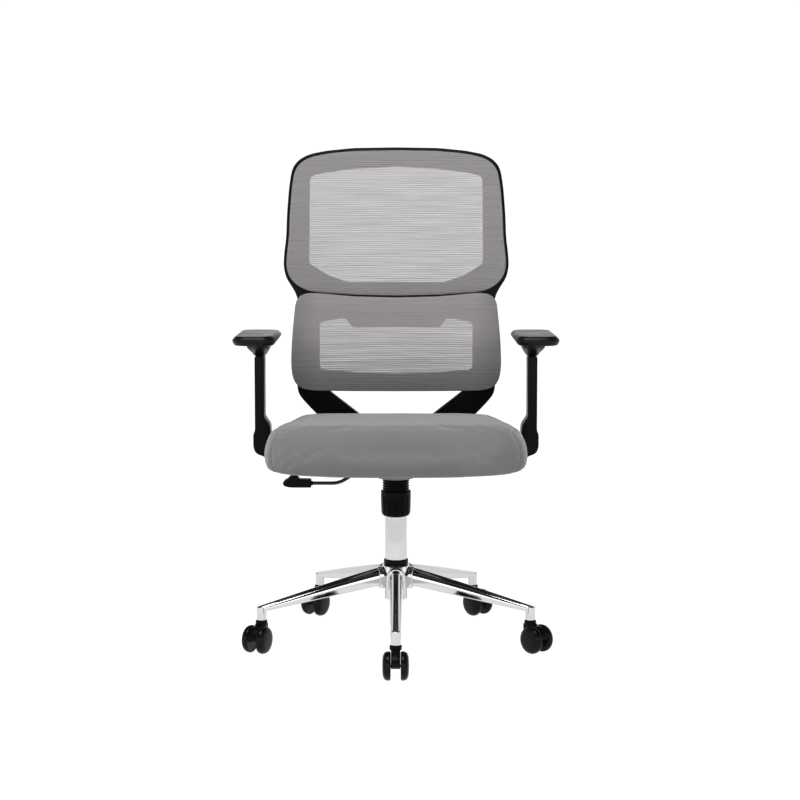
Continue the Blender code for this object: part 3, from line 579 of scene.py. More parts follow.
def cloth_look(name, colour, sheen):
    """Plain-woven upholstery: crossing threads, flecks of lighter yarn and soft rubbed patches."""
    look = Look(name, colour, 0.88)
    axes = look.node("ShaderNodeSeparateXYZ")
    look.link(look.place, axes.inputs["Vector"])
    depth = look.math("ADD", axes.outputs["Y"], axes.outputs["Z"])
    threads = look.math("MULTIPLY", look.wave(axes.outputs["X"], THREAD_PITCH),
                        look.wave(depth, THREAD_PITCH))
    fleck = look.noise(520.0, 2.0)
    rubbed = look.noise(11.0, 4.0)
    mixed = look.math("MULTIPLY_ADD", fleck, 0.55, look.math("MULTIPLY", rubbed, 0.45))
    look.tinted(mixed, 0.86, 1.16, 0.34, 0.66)
    look.rough(rubbed, 0.82, 0.94)
    weave = look.bump(threads, 0.30, 0.0003)
    look.bump(fleck, 0.20, 0.0004, under=weave)
    look.set("Sheen Weight", sheen)
    look.set("Sheen Roughness", 0.45)
    return look.material


def board_look():
    """Black moulded shell under the seat: coarse leather-like grain with duller scuffed patches."""
    look = Look("seat_board", (0.012, 0.012, 0.0125), 0.60)
    look.set("Specular IOR Level", 0.15)
    patches = look.noise(14.0, 5.0)
    look.tinted(patches, 0.75, 1.40)
    look.rough(patches, 0.52, 0.72)
    look.bump(look.cells(620.0), 0.35, 0.0004)
    return look.material


LOOKS = {
    "chrome": chrome_look(),
    "bare_steel": steel_look(),
    "grey_steel": coated_look("grey_steel", (0.20, 0.195, 0.195), 0.42, 0.3, 1400.0),
    "black_metal": coated_look("black_metal", (0.014, 0.014, 0.015), 0.34, 0.4, 1600.0),
    "black_plastic": plastic_look("black_plastic", (0.0036, 0.0034, 0.0037), 0.30, 1500.0, 0.00018),
    "wheel_plastic": plastic_look("wheel_plastic", (0.0034, 0.0033, 0.0036), 0.20, 1800.0, 0.00010, 0.11),
    "black_gloss": plastic_look("black_gloss", (0.0020, 0.0019, 0.0021), 0.13, 1800.0, 0.00006, 0.05),
    "grey_plastic": plastic_look("grey_plastic", (0.20, 0.20, 0.20), 0.42, 1500.0, 0.00015),
    "carrier_plastic": plastic_look("carrier_plastic", (0.045, 0.044, 0.045), 0.50, 1300.0, 0.0002),
    "pad_rubber": pad_look(),
    "back_mesh": mesh_look("back_mesh", (0.285, 0.271, 0.278), 0.76, 0.185, 2.8),
    # The lumbar mesh carries painted shade: darker low on the panel and towards its sides.
    "lumbar_fabric": mesh_look("lumbar_fabric", (0.320, 0.303, 0.311), 0.82, 0.190, 2.8, 0.52),
    "seat_fabric": cloth_look("seat_fabric", (0.172, 0.163, 0.164), 0.45),
    "seat_board": board_look(),
}


def dress_frame():
    """Every carried-over CAD node takes the worked-up finish of its own slot."""
    slots = {part["node"]: part["material_slot"] for part in frame["record"]["subparts"]}
    for name, node in frame["nodes"].items():
        for holder in node.material_slots:
            holder.material = LOOKS[slots[name]]


def eased(nodes, width):
    """CAD nodes that stay in view get fine rounded edges."""
    for name in nodes:
        node = frame["nodes"][name]
        weld = node.modifiers.new("joined", "WELD")
        weld.merge_threshold = 1e-5
        bevel = node.modifiers.new("edges", "BEVEL")
        bevel.width = width
        bevel.segments = 2
        bevel.limit_method = "ANGLE"
        bevel.angle_limit = math.radians(40)


# ---- base and column

def arm_crown(half, deep, top):
    """The arm's back: slanted flanks that meet in a round ridge, softer than an ellipse."""
    crown = []
    for i in range(CROWN_STEPS + 1):
        angle = math.pi * i / CROWN_STEPS
        cosine = math.cos(angle)
        across = half * math.copysign(abs(cosine) ** CROWN_POWER, cosine)
        crown.append((across, top - deep + deep * math.sin(angle) ** CROWN_POWER))
    return crown


def base_arm(direction):
    """A hollow arm: straight sides, a round back, a tapering run and a rounded nose on its socket."""
    steps = 36
    stations = [(ARM_START + (ARM_END - ARM_START) * k / steps, k / steps, 1.0, 0.0)
                for k in range(steps + 1)]
    stations += [(0.3150, 1.0, 0.93, 0.0008), (0.3180, 1.0, 0.74, 0.0022), (0.3198, 1.0, 0.45, 0.0042)]
    rings = []
    for reach, run, share, drop in stations:
        half = (0.0180 - 0.0080 * run ** 0.85) * share
        top = 0.1700 - 0.0690 * run ** 1.08 - drop
        floor = 0.1320 - 0.0440 * run
        deep = (top - floor) * 0.60
        wall = ARM_WALL * share
        crown = arm_crown(half, deep, top)
        inner = [(x, z - wall) for x, z in reversed(arm_crown(half - wall, deep - wall, top))]
        lip = soften([(-half, floor + 0.004), (-half, floor), (wall - half, floor),
                      (wall - half, floor + 0.004)], 0.0010, 3)
        ring = crown + lip + inner + [(-x, z) for x, z in reversed(lip)]
        rings.append([(reach, across, height) for across, height in ring])
    return moved(loft(rings), Matrix.Rotation(math.radians(direction), 4, "Z"))


def hub_arch(direction):
    """The raised round-topped socket that each arm leaves the hub through."""
    half = 0.0215
    outline = [(half, 0.1245)] + arc((0.0, 0.1485), half, 0, 180, 20) + [(-half, 0.1245)]
    shape = slab(outline, 0.0265, 0.0440, 0.0022, "X", steps=4)
    return moved(shape, Matrix.Rotation(math.radians(direction), 4, "Z"))


def socket_place(direction):
    """The axis of a caster's socket at the end of its arm."""
    angle = math.radians(direction)
    return Matrix.Translation((BASE_REACH * math.cos(angle), BASE_REACH * math.sin(angle), 0))


def make_base():
    hub = soften([(0.0253, 0.124), (0.034, 0.124), (0.034, 0.1600), (0.0300, 0.173), (0.0253, 0.173)],
                 0.0025, 4, closed=True)
    shapes = [lathe(hub, 80, closed=True)]
    for direction in ARM_DIRECTIONS:
        socket = soften([(0, 0.0692), (0.0054, 0.0692), (0.0108, 0.0692), (0.0108, 0.0980),
                         (0.0080, 0.0988), (0, 0.0988)], 0.0012, 4)
        shapes += [base_arm(direction), hub_arch(direction),
                   moved(lathe(socket, 40), socket_place(direction))]
    piece("star", merged(*shapes), "chrome", "base", ["base_star"], crease=80)
    ring = soften([(0.0253, 0.1733), (0.0262, 0.1733), (0.0274, 0.1750), (0.0274, 0.1830),
                   (0.0260, 0.1865), (0.0253, 0.1865)], 0.0012, 3, closed=True)
    piece("cover_ring", lathe(ring, 80, closed=True), "black_plastic", "base", ["hub_ring"])
    column = soften([(0.0053, 0.095), (0.0235, 0.095), (0.0250, 0.0965), (0.0250, 0.2880), (0.0236, 0.2880),
                     (0.0235, 0.0990), (0.0053, 0.0990)], 0.0004, 2, closed=True)
    piece("column", lathe(column, 96, closed=True), "chrome", "base", ["column_tube"])
    bush = soften([(0.0143, 0.245), (0.0232, 0.245), (0.0232, 0.2883), (0.0249, 0.2883), (0.0249, 0.2945),
                   (0.0236, 0.2960), (0.0143, 0.2960)], 0.0006, 2, closed=True)
    piece("guide_bush", lathe(bush, 80, closed=True), "black_plastic", "base", ["column_bush"])
    lift = soften([(0, 0.315), (0.0053, 0.315), (0.0053, 0.180), (0.0140, 0.180), (0.0140, 0.354),
                   (0.0136, 0.3835), (0.0033, 0.3835), (0.0033, 0.3700), (0, 0.3700)], 0.0004, 2)
    piece("lift_cylinder", lathe(lift, 64), "black_metal", "mechanism", ["gas_cylinder"])


# ---- casters

def caster_hood_shape():
    """Web, axle boss and fender between the wheels, under a round neck."""
    centre = (-CASTER_TRAIL, WHEEL_RADIUS)
    neck = 0.0125
    outline = arc(centre, 0.0065, 200, 350, 10)
    outline += [(0.0105, 0.0430), (neck, 0.0500), (neck, 0.0615), (-neck, 0.0615)]
    outline += arc(centre, 0.0285, 74.7, 172, 20)
    web = slab(soften(outline, 0.0025, 3, closed=True), -0.0098, 0.0098, 0.0010, "X")
    rib = slab(soften(arc(centre, 0.0292, 80, 162, 20) + arc(centre, 0.0262, 162, 80, 20), 0.0005, 1,
                      closed=True), -0.0060, 0.0060, 0.0003, "X")
    collar = lathe(soften([(0, 0.0588), (0.0122, 0.0588), (0.0130, 0.0612), (0.0130, 0.0672),
                           (0.0118, 0.0689), (0.0053, 0.0689), (0, 0.0689)], 0.0007, 3), 48)
    return merged(web, rib, collar)


def wheel_shape(turn):
    """Tyre with a rounded tread, a bevelled rim and a shallow ring groove in its outer disc."""
    profile = soften([
        (0, 0.0268), (0.0033, 0.0268), (0.0033, 0.0103), (0.0080, 0.0103), (0.0085, 0.0112),
        (0.0240, 0.0112), (0.0252, 0.0103), (0.0272, 0.0103), (0.0292, 0.0112), (0.0300, 0.0135),
        (0.0300, 0.0160), (0.0297, 0.0185), (0.0288, 0.0212), (0.0271, 0.0236), (0.0250, 0.0251),
        (0.0243, 0.0247), (0.0233, 0.0248), (0.0226, 0.0262), (0.0170, 0.0273), (0.0090, 0.0279),
        (0, 0.0281),
    ], 0.0010, 3)
    return moved(lathe(profile, 64), turn)


def make_casters():
    hood = mesh_of("caster_hood_mesh", caster_hood_shape(), LOOKS["black_plastic"])
    wheels = {side: mesh_of(f"caster_wheel_mesh_{side}", wheel_shape(turn), LOOKS["wheel_plastic"], 50)
              for side, turn in (("left", ALONG_X), ("right", ALONG_MINUS_X))}
    stem = mesh_of("caster_stem_mesh", lathe(soften([
        (0, 0.0465), (0.0050, 0.0465), (0.0050, 0.0745), (0.0050, 0.0925), (0.0042, 0.0940), (0, 0.0940),
    ], 0.0004, 2), 32), LOOKS["bare_steel"])
    for number, (direction, turn) in enumerate(zip(ARM_DIRECTIONS, CASTER_TURNS), 1):
        spot = socket_place(direction) @ Matrix.Rotation(math.radians(turn), 4, "Z")
        axle = spot @ Matrix.Translation((0, -CASTER_TRAIL, WHEEL_RADIUS))
        label = f"caster_{number}"
        place(f"{label}_fork", hood, label, "black_plastic", [f"{label}_hood"], spot)
        place(f"{label}_pin", stem, "base", "bare_steel", [f"{label}_stem"], spot)
        for side, wheel in wheels.items():
            place(f"{label}_tyre_{side}", wheel, f"wheel_{number}_{side}", "wheel_plastic",
                  [f"{label}_wheel_{side}"], axle)


# ---- tilt mechanism

def knob_shape():
    """A round grip with broad flutes that run out above a chamfered lower edge."""
    segments = KNOB_FLUTES * 12
    levels = [
        (0.0000, 0.2975, 0), (0.0060, 0.2975, 0), (0.0066, 0.2962, 0), (0.0200, 0.2962, 0),
        (0.0285, 0.2992, 0), (0.0300, 0.3012, 0.25), (0.0312, 0.3042, 0.8), (0.0318, 0.3075, 1),
        (0.0321, 0.3150, 1), (0.0325, 0.3300, 1), (0.0328, 0.3420, 1), (0.0329, 0.3455, 0.55),
        (0.0330, 0.3475, 0.05), (0.0330, 0.3520, 0), (0.0325, 0.3535, 0), (0.0315, 0.3540, 0),
        (0.0297, 0.3540, 0), (0.0297, 0.3300, 0), (0.0297, 0.3120, 0), (0.0000, 0.3120, 0),
    ]
    rings = []
    for radius, height, deep in levels:
        ring = []
        for i in range(segments):
            angle = 2 * math.pi * i / segments
            wave = 0.5 - 0.5 * math.cos(angle * KNOB_FLUTES)
            groove = smoothed(clamped((wave - 0.62) / 0.22))
            reach = max(radius - FLUTE_DEPTH * deep * groove, 0.00001)
            ring.append((reach * math.cos(angle), reach * math.sin(angle), height))
        rings.append(ring)
    return loft(rings)


def sleeve_shape():
    """A coarse thread round the spring sleeve."""
    profile = [(0.0250, 0.3385), (0.0264, 0.3385)]
    height = 0.3400
    while height < 0.3770:
        profile += [(0.0264, height), (0.0293, height + 0.0014), (0.0293, height + 0.0030),
                    (0.0264, height + 0.0042)]
        height += 0.0055
    profile += [(0.0264, 0.3812), (0.0250, 0.3812)]
    return lathe(soften(profile, 0.0003, 2, closed=True), 96, closed=True)


def spring_shape():
    """A compression spring with a closed turn at each end."""
    turns, steps, pitch = 7, 24, 0.0054
    open_pitch = (COIL_HIGH - COIL_LOW - 2 * pitch) / (turns - 2)
    path = []
    for i in range(turns * steps + 1):
        turn = i / steps
        angle = 2 * math.pi * turn
        opened = min(max(turn - 1, 0), turns - 2)
        height = COIL_LOW + pitch * (turn - opened) + open_pitch * opened
        path.append((COIL_RADIUS * math.cos(angle), COIL_RADIUS * math.sin(angle), height))
    return tube(path, WIRE_RADIUS, 12)


def lever_rod_shape():
    bends = soften([(0.0160, 0, LEVER_Z), (-0.0660, 0, LEVER_Z), (-0.1270, 0, PADDLE_Z),
                    (-0.2130, 0, PADDLE_Z)], 0.016, 8)
    return tube(bends, 0.0040, 20)


def lever_paddle_shape():
    """A flat grip with an upstanding thumb stop and a round tip."""
    outline = soften([
        (-0.1890, 0.3480), (-0.1890, 0.3660), (-0.2165, 0.3660), (-0.2185, 0.3750), (-0.2340, 0.3750),
        (-0.2420, 0.3665), (-0.2495, 0.3630), (-0.2530, 0.3565), (-0.2495, 0.3510), (-0.2400, 0.3482),
        (-0.2300, 0.3475), (-0.1900, 0.3475),
    ], 0.0040, 4, closed=True)
    grip = slab(outline, -0.0120, 0.0120, 0.0014, "Y", steps=3)
    socket = lathe(soften([(0, -0.1935), (0.0052, -0.1935), (0.0052, -0.1865), (0.0045, -0.1855),
                           (0, -0.1855)], 0.0006, 2), 32)
    return merged(grip, shifted(moved(socket, ALONG_X), 0, 0, PADDLE_Z))


def make_mechanism():
    axis = Matrix.Translation((0, BOLT_Y, 0))
    piece("tension_grip", moved(knob_shape(), axis), "black_gloss", "knob", ["tension_knob"],
          crease=55, slot="black_plastic")
    piece("thread_sleeve", moved(sleeve_shape(), axis), "black_plastic", "mechanism", ["spring_sleeve"])
    coil = piece("pressure_spring", moved(spring_shape(), axis), "bare_steel", "mechanism",
                 ["tension_spring"], crease=60)
    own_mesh(coil)
    piece("release_rod", lever_rod_shape(), "black_metal", "lever", ["lever_rod"])
    piece("release_paddle", lever_paddle_shape(), "black_plastic", "lever",
          ["lever_paddle"])
    eased(["tilt_housing", "seat_plate", "back_bracket"], 0.0009)
    eased(["tilt_pin", "tension_bolt", "lock_bar", "spring_seat"], 0.0003)


# ---- seat

def seat_outline(cut, steps=8):
    half = [(0, -0.245), (0.150, -0.2435), (0.231, -0.228), (0.2715, -0.186), (0.2832, -0.122),
            (0.278, -0.050), (0.266, 0.030), (0.250, 0.105), (0.229, 0.170), (0.196, 0.214),
            (0.140, 0.232), (0, 0.235)]
    return inset(smooth_loop(whole_loop(half), steps), cut)


def front_dip(y):
    """0 over the seat's middle, 1 along its front edge."""
    return smoothed(clamped((-0.130 - y) / 0.090))


def rear_share(y):
    """0 in front of the seat's rear corners, 1 along its rear edge, where the back frame bends up."""
    return clamped((y - 0.120) / 0.080)


def top_slope(y, height):
    """How the cushion's top rises to the front and falls off at the rear."""
    share = clamped((height - 0.4500) / (SEAT_TOP - 0.4500))
    rear = clamped((y - 0.090) / 0.110)
    return share * (0.047 * (0.090 - y) - 0.008 * rear * rear * (3 - 2 * rear))


def cushion_shape(shrink):
    """A full boxed form: wrapped underside, nearly upright sides and a gently sloped, domed top."""
    levels = (
        (BOARD_INSET - 0.0005, BOARD_TOP - 0.001, 0.0, 0.0), (BOARD_INSET - 0.0005, SKIRT_FLOOR, 0.0, 0.0),
        (0.0170, SKIRT_FLOOR + 0.0004, 0.0070, 0.020), (0.0095, 0.4134, 0.0070, 0.020),
        (0.0052, 0.4168, 0.0064, 0.018), (0.0026, 0.4222, 0.0050, 0.014), (0.0009, 0.4300, 0.0030, 0.008),
        (0.0, 0.4400, 0.0015, 0.004), (0.0004, 0.4510, 0.0005, 0.001), (0.0020, 0.4620, 0.0, 0.0),
        (0.0055, 0.4720, 0.0, 0.0), (0.0110, 0.4805, 0.0, 0.0), (0.0185, 0.4870, 0.0, 0.0),
        (0.0285, 0.4918, 0.0, 0.0), (0.0400, 0.4944, 0.0, 0.0), (0.0530, 0.4955, 0.0, 0.0),
    )
    rings = []
    for cut, height, dip, relief in levels:
        rings.append([
            (x, y - relief * rear_share(y),
             height - dip * front_dip(y) * (1 - (x / 0.29) ** 2) + top_slope(y, height))
            for x, y in seat_outline(cut + shrink)
        ])
    last = rings[-1]
    centre = (0.0, -0.010)
    for k in range(1, 12):
        share = k / 12
        rise = 0.0020 * (1 - (1 - share) ** 2)
        ring = []
        for x, y, z in last:
            across = x + (centre[0] - x) * share
            depth = y + (centre[1] - y) * share
            flat = z - top_slope(y, 0.4952)
            ring.append((across, depth, flat + top_slope(depth, 0.4952) + rise))
        rings.append(ring)
    return loft(rings)


CLOTH_SETTINGS = {
    "quality": 6, "mass": 0.3, "tension_stiffness": 25, "compression_stiffness": 20,
    "shear_stiffness": 12, "bending_stiffness": 0.6,
}


def padded_by_cloth(obj, voxel, pressure, cap, held_below):
    """Blows the closed form up a little as cloth, so that the cover draws tight over the foam."""
    remesh = obj.modifiers.new("even", "REMESH")
    remesh.mode = "VOXEL"
    remesh.voxel_size = voxel
    mesh = as_shown(obj)
    obj.data = mesh
    start = [vertex.co.copy() for vertex in mesh.vertices]
    group = obj.vertex_groups.new(name="held")
    group.add([v.index for v in mesh.vertices if v.co.z < held_below], 1.0, "REPLACE")
    cloth = obj.modifiers.new("cover", "CLOTH")
    settings = cloth.settings
    for key, value in CLOTH_SETTINGS.items():
        setattr(settings, key, value)
    settings.use_pressure = True
    settings.uniform_pressure_force = pressure
    settings.vertex_group_mass = "held"
    settings.effector_weights.gravity = 0
    scene = bpy.context.scene
    for number in range(1, 21):
        scene.frame_set(number)
    done = as_shown(obj)
    scene.frame_set(1)
    for vertex, origin in zip(done.vertices, start):
        step = vertex.co - origin
        if step.length > cap:
            vertex.co = origin + step.normalized() * cap
    obj.data = done


def side_seam(side):
    """Where the side panel of the cover meets its top and front panels, as a line near the surface."""
    corner = [(0.250, -0.205, 0.402), (0.2610, -0.1975, 0.425), (0.2655, -0.1930, 0.450),
              (0.2590, -0.1930, 0.474), (0.2450, -0.1880, 0.4905)]
    shoulder = [(0.2540, -0.150, 0.4925), (0.2580, -0.100, 0.4930), (0.2530, -0.020, 0.4930),
                (0.2380, 0.060, 0.4930), (0.2180, 0.130, 0.4925), (0.1850, 0.185, 0.4920),
                (0.1350, 0.206, 0.4920), (0.0, 0.210, 0.4925)]
    return [(side * x, y, z) for x, y, z in corner + shoulder]


def open_curve(points, steps):
    """A smooth open curve through the points."""
    ends_twice = [points[0], *points, points[-1]]
    line = []
    for i in range(len(points) - 1):
        line += curve_span(ends_twice[i:i + 4], steps)
    return [*line, Vector(points[-1])]


def tree_of(mesh):
    return BVHTree.FromPolygons([v.co for v in mesh.vertices], [p.vertices for p in mesh.polygons])


def on_surface(line, tree, lift):
    """The line moved to the surface, then off it by the lift."""
    found = (tree.find_nearest(point) for point in line)
    return [spot + normal * lift for spot, normal, _, _ in found]


def sink_seam(mesh, lines, depth, width):
    """Draws the surface in along lines."""
    from_line = [point for line in lines for point in line]
    low = [min(p[k] for p in from_line) - 3 * width for k in range(3)]
    high = [max(p[k] for p in from_line) + 3 * width for k in range(3)]
    cells = {}
    size = 3 * width
    for point in from_line:
        key = tuple(int(c // size) for c in point)
        cells.setdefault(key, []).append(point)
    normals = [vertex.normal.copy() for vertex in mesh.vertices]
    for vertex, normal in zip(mesh.vertices, normals):
        if not all(low[k] < vertex.co[k] < high[k] for k in range(3)):
            continue
        key = tuple(int(c // size) for c in vertex.co)
        nearest = size
        for i in (-1, 0, 1):
            for j in (-1, 0, 1):
                for k in (-1, 0, 1):
                    for point in cells.get((key[0] + i, key[1] + j, key[2] + k), ()):
                        nearest = min(nearest, (vertex.co - point).length)
        vertex.co = vertex.co - normal * depth * math.exp(-(nearest / width) ** 2)


def make_seat():
    look = LOOKS["seat_fabric"]
    cushion = added("cushion", mesh_of("cushion", cushion_shape(-0.0022), look, 180))
    padded_by_cloth(cushion, voxel=0.0055, pressure=3.0, cap=0.004, held_below=0.4165)
    fine = cushion.modifiers.new("fine", "SUBSURF")
    fine.levels = 1
    fine.render_levels = 1
    mesh = as_shown(cushion)
    cushion.data = mesh
    normals = [vertex.normal.copy() for vertex in mesh.vertices]
    for vertex, normal in zip(mesh.vertices, normals):
        x, y, z = vertex.co
        folds = noise.noise(Vector((x * 6, y * 6, z * 9)))
        ripple = noise.noise(Vector((x * 15 + 7, y * 15, z * 11)))
        if z > SKIRT_FLOOR + 0.006:
            vertex.co = vertex.co + normal * (0.0015 * folds + 0.0008 * ripple)
    tree = tree_of(mesh)
    seams = [on_surface(open_curve(side_seam(side), 24), tree, 0.0) for side in (-1, 1)]
    sink_seam(mesh, seams, depth=0.0022, width=0.0032)
    mesh.shade_smooth()
    if not mesh.materials:
        mesh.materials.append(look)
    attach(cushion, "seat")
    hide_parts("seat_cushion")
    tree = tree_of(mesh)
    threads = [tube(on_surface(seam, tree, 0.0001), 0.0007, 6) for seam in seams]
    piece("seam_thread", merged(*threads), "seat_fabric", "seat")
    piece("seat_panel", slab(seat_outline(BOARD_INSET + 0.0003, 4), BOARD_FLOOR, BOARD_TOP, 0.0012, "Z"),
          "seat_board", "seat", ["seat_board"])


# ---- back sheet

def upright_y(height):
    """The depth of the sheet's front face: it leans back above and below the crest."""
    rise = height - CREST_HEIGHT
    crest = BACK_REAR - FRAME_DEPTH - 0.288 * (BACK_TOP - CREST_HEIGHT) ** 1.5
    if rise >= 0:
        return crest + 0.288 * rise ** 1.5
    return crest + 0.22 * rise ** 2


LEAN_AT_BEND = math.atan(0.44 * (CREST_HEIGHT - BEND_TOP))
BEND_RADIUS = (BEND_TOP - TONGUE_TOP) / (1 + math.sin(LEAN_AT_BEND))
BEND_CENTRE = (
    upright_y(BEND_TOP) - BEND_RADIUS * math.cos(LEAN_AT_BEND),
    TONGUE_TOP + BEND_RADIUS,
)
BEND_LENGTH = BEND_RADIUS * (math.pi / 2 + LEAN_AT_BEND)
TONGUE_START = BEND_TOP - BEND_LENGTH
TONGUE_END = TONGUE_START - (BEND_CENTRE[0] - TONGUE_FRONT)


def back_place(across, along, depth):
    """A point of the bent back sheet. Along is the height, then the length round the bend and tongue."""
    if along >= BEND_TOP:
        wrap = clamped((along - BEND_TOP) / 0.14)
        turn = LEAN_AT_BEND * (1 - smoothed(clamped((along - BEND_TOP) / 0.08)))
        y = upright_y(along) - SIDE_WRAP * wrap * across ** 2 + depth * math.cos(turn)
        return across, y, along + depth * math.sin(turn)
    if along >= TONGUE_START:
        turn = LEAN_AT_BEND - (BEND_TOP - along) / BEND_RADIUS
        radius = BEND_RADIUS + depth
        return (across, BEND_CENTRE[0] + radius * math.cos(turn),
                BEND_CENTRE[1] + radius * math.sin(turn))
    return across, BEND_CENTRE[0] - (TONGUE_START - along), TONGUE_TOP - depth


def inside(point, loop):
    """Whether a closed loop goes round the point."""
    x, v = point
    crossings = False
    for i, start in enumerate(loop):
        end = loop[i - 1]
        if (start[1] > v) != (end[1] > v):
            if x < (end[0] - start[0]) * (v - start[1]) / (end[1] - start[1]) + start[0]:
                crossings = not crossings
    return crossings


class Nearness:
    """How far a point is from the nearest of many others, up to a limit."""

    def __init__(self, points, limit):
        self.limit = limit
        self.cells = {}
        for point in points:
            key = (int(point[0] // limit), int(point[1] // limit))
            self.cells.setdefault(key, []).append(point)

    def of(self, point):
        cx, cy = int(point[0] // self.limit), int(point[1] // self.limit)
        nearest = self.limit
        for i in (-1, 0, 1):
            for j in (-1, 0, 1):
                for other in self.cells.get((cx + i, cy + j), ()):
                    nearest = min(nearest, math.dist(point, other))
        return nearest


def filled(loops, cell, extra=()):
    """Points and triangles that fill the first loop, outside the others. Extra loops are only lines."""
    points = []
    edges = []
    for loop in [*loops, *extra]:
        first = len(points)
        points += loop
        edges += [(first + i, first + (i + 1) % len(loop)) for i in range(len(loop))]
    near = Nearness(points, cell)
    low_x, high_x = min(x for x, _ in loops[0]), max(x for x, _ in loops[0])
    low_v, high_v = min(v for _, v in loops[0]), max(v for _, v in loops[0])
    columns = max(1, int((high_x - low_x) / cell))
    rows = max(1, int((high_v - low_v) / cell))
    for i in range(columns + 1):
        for j in range(rows + 1):
            point = (low_x + (high_x - low_x) * i / columns, low_v + (high_v - low_v) * j / rows)
            if near.of(point) < cell * 0.6 or not inside(point, loops[0]):
                continue
            if not any(inside(point, hole) for hole in loops[1:]):
                points.append(point)
    corners, _, triangles, *_ = delaunay_2d_cdt([Vector(point) for point in points], edges, [], 0, 1e-7)
    flat = [tuple(point) for point in corners]
    faces = []
    for face in triangles:
        middle = tuple(sum(flat[i][k] for i in face) / len(face) for k in (0, 1))
        if inside(middle, loops[0]) and not any(inside(middle, hole) for hole in loops[1:]):
            faces.append(tuple(face))
    return flat, faces


def sheet_plate(outline, holes, front, rear, radius, cell=0.014, spacing=0.007, rim=None):
    """A plate of the back's sheet with rounded edges. rim = (width, front recess, rear recess) sinks
    its faces inside a raised border; the recesses are functions of (across, along)."""
    loops = [even(outline, spacing)] + [even(hole, spacing) for hole in holes]
    signs = [1] + [-1] * len(holes)
    edge = quarter(radius, 3)
    rings = [(cut, "front", lift) for cut, lift in edge] + [(lift, "rear", cut) for cut, lift in edge]
    points = []
    faces = []
    for loop, sign in zip(loops, signs):
        faces += walls(len(loop), len(rings), len(points))
        for cut, side, lift in rings:
            ring = inset(loop, cut * sign)
            for x, v in ring:
                depth = front(x, v) + lift if side == "front" else rear(x, v) - lift
                points.append(back_place(x, v, depth))
    face_loops = [inset(loop, radius * sign) for loop, sign in zip(loops, signs)]
    extra = []
    if rim:
        width = rim[0]
        for share in (0.0, 0.0030):
            extra += [inset(loop, (radius + width + share) * sign) for loop, sign in zip(loops, signs)]
    flat, triangles = filled(face_loops, cell, extra)
    edge_points = [point for loop in face_loops for point in loop]
    near = Nearness(edge_points, 0.016)
    for side in ("front", "rear"):
        start = len(points)
        for x, v in flat:
            depth = front(x, v) if side == "front" else rear(x, v)
            if rim:
                away = near.of((x, v))
                sunk = clamped((away - rim[0] + 0.0008) / 0.0028)
                depth += rim[1](x, v) * sunk if side == "front" else -rim[2](x, v) * sunk
            points.append(back_place(x, v, depth))
        faces += [tuple(start + i for i in face) for face in triangles]
    return points, faces


def frame_loops():
    """The back frame's outline and its upper and lower openings, as (across, along) pairs."""
    outline = [
        (0, BACK_TOP), (0.100, 1.1085), (0.165, 1.102), (0.205, 1.094), (0.228, 1.083), (0.243, 1.067),
        (0.249, 1.050), (0.254, 1.013), (0.258, 0.954), (0.2595, 0.897), (0.264, 0.859),
        (0.2655, 0.830), (0.2595, 0.803), (0.247, 0.784), (0.236, 0.766), (0.229, 0.740),
        (0.226, 0.640), (0.233, 0.585), (0.2345, 0.548), (0.231, 0.528), (0.2195, 0.512),
        (0.197, 0.487), (0.168, BEND_TOP), (0.118, TONGUE_START + 0.030), (0.095, TONGUE_START),
        (0.085, TONGUE_START - 0.020), (0.080, TONGUE_END + 0.010), (0.070, TONGUE_END), (0, TONGUE_END),
    ]
    upper = [
        (0, 1.076), (0.100, 1.073), (0.170, 1.061), (0.200, 1.050), (0.212, 1.032), (0.214, 0.950),
        (0.214, 0.830), (0.200, 0.800), (0.160, 0.790), (0, 0.782),
    ]
    lower = [
        (0, 0.722), (0.150, 0.724), (0.180, 0.715), (0.189, 0.690), (0.188, 0.620), (0.178, 0.575),
        (0.161, 0.537), (0.098, 0.486), (0.051, BEND_TOP - 0.010), (0.012, 0.4170), (0, 0.4130),
    ]
    return [soften(whole_loop(loop), 0.012, 4, closed=True) for loop in (outline, upper, lower)]


def upper_outline():
    return soften(whole_loop([
        (0, 1.1035), (0.100, 1.102), (0.163, 1.0955), (0.200, 1.088), (0.222, 1.078), (0.236, 1.063),
        (0.2425, 1.047), (0.2475, 1.012), (0.2515, 0.954), (0.253, 0.897), (0.2575, 0.859),
        (0.259, 0.830), (0.253, 0.807), (0.238, 0.788), (0.218, 0.7755), (0.195, 0.7685),
        (0.100, 0.7615), (0, 0.7590),
    ]), 0.012, 4, closed=True)


def upper_window():
    return soften(whole_loop([
        (0, 1.064), (0.100, 1.0585), (0.170, 1.049), (0.197, 1.043), (0.2045, 1.035), (0.2045, 0.836),
        (0.160, 0.808), (0.113, 0.792), (0, 0.792),
    ]), 0.004, 4, closed=True)


def lumbar_outline():
    return soften(whole_loop([
        (0, 0.7575), (0.100, 0.7602), (0.170, 0.7672), (0.205, 0.7690), (0.225, 0.7635), (0.235, 0.748),
        (0.240, 0.700), (0.244, 0.654), (0.246, 0.606), (0.244, 0.576), (0.237, 0.556),
        (0.222, 0.543), (0.195, 0.538), (0.100, 0.5365), (0, 0.536),
    ]), 0.012, 4, closed=True)


def lumbar_window():
    return soften(whole_loop([
        (0, 0.687), (0.102, 0.687), (0.119, 0.7095), (0.174, 0.7010), (0.179, 0.6965),
        (0.179, 0.594), (0.174, 0.588), (0.080, 0.580), (0, 0.578),
    ]), 0.003, 3, closed=True)


def level(depth):
    return lambda across, along: depth


def frame_rear(_, along):
    """The frame's depth, which thins from the uprights down to the tongue."""
    run = clamped((along - TONGUE_START) / (0.500 - TONGUE_START))
    return TONGUE_DEPTH + (FRAME_DEPTH - TONGUE_DEPTH) * run


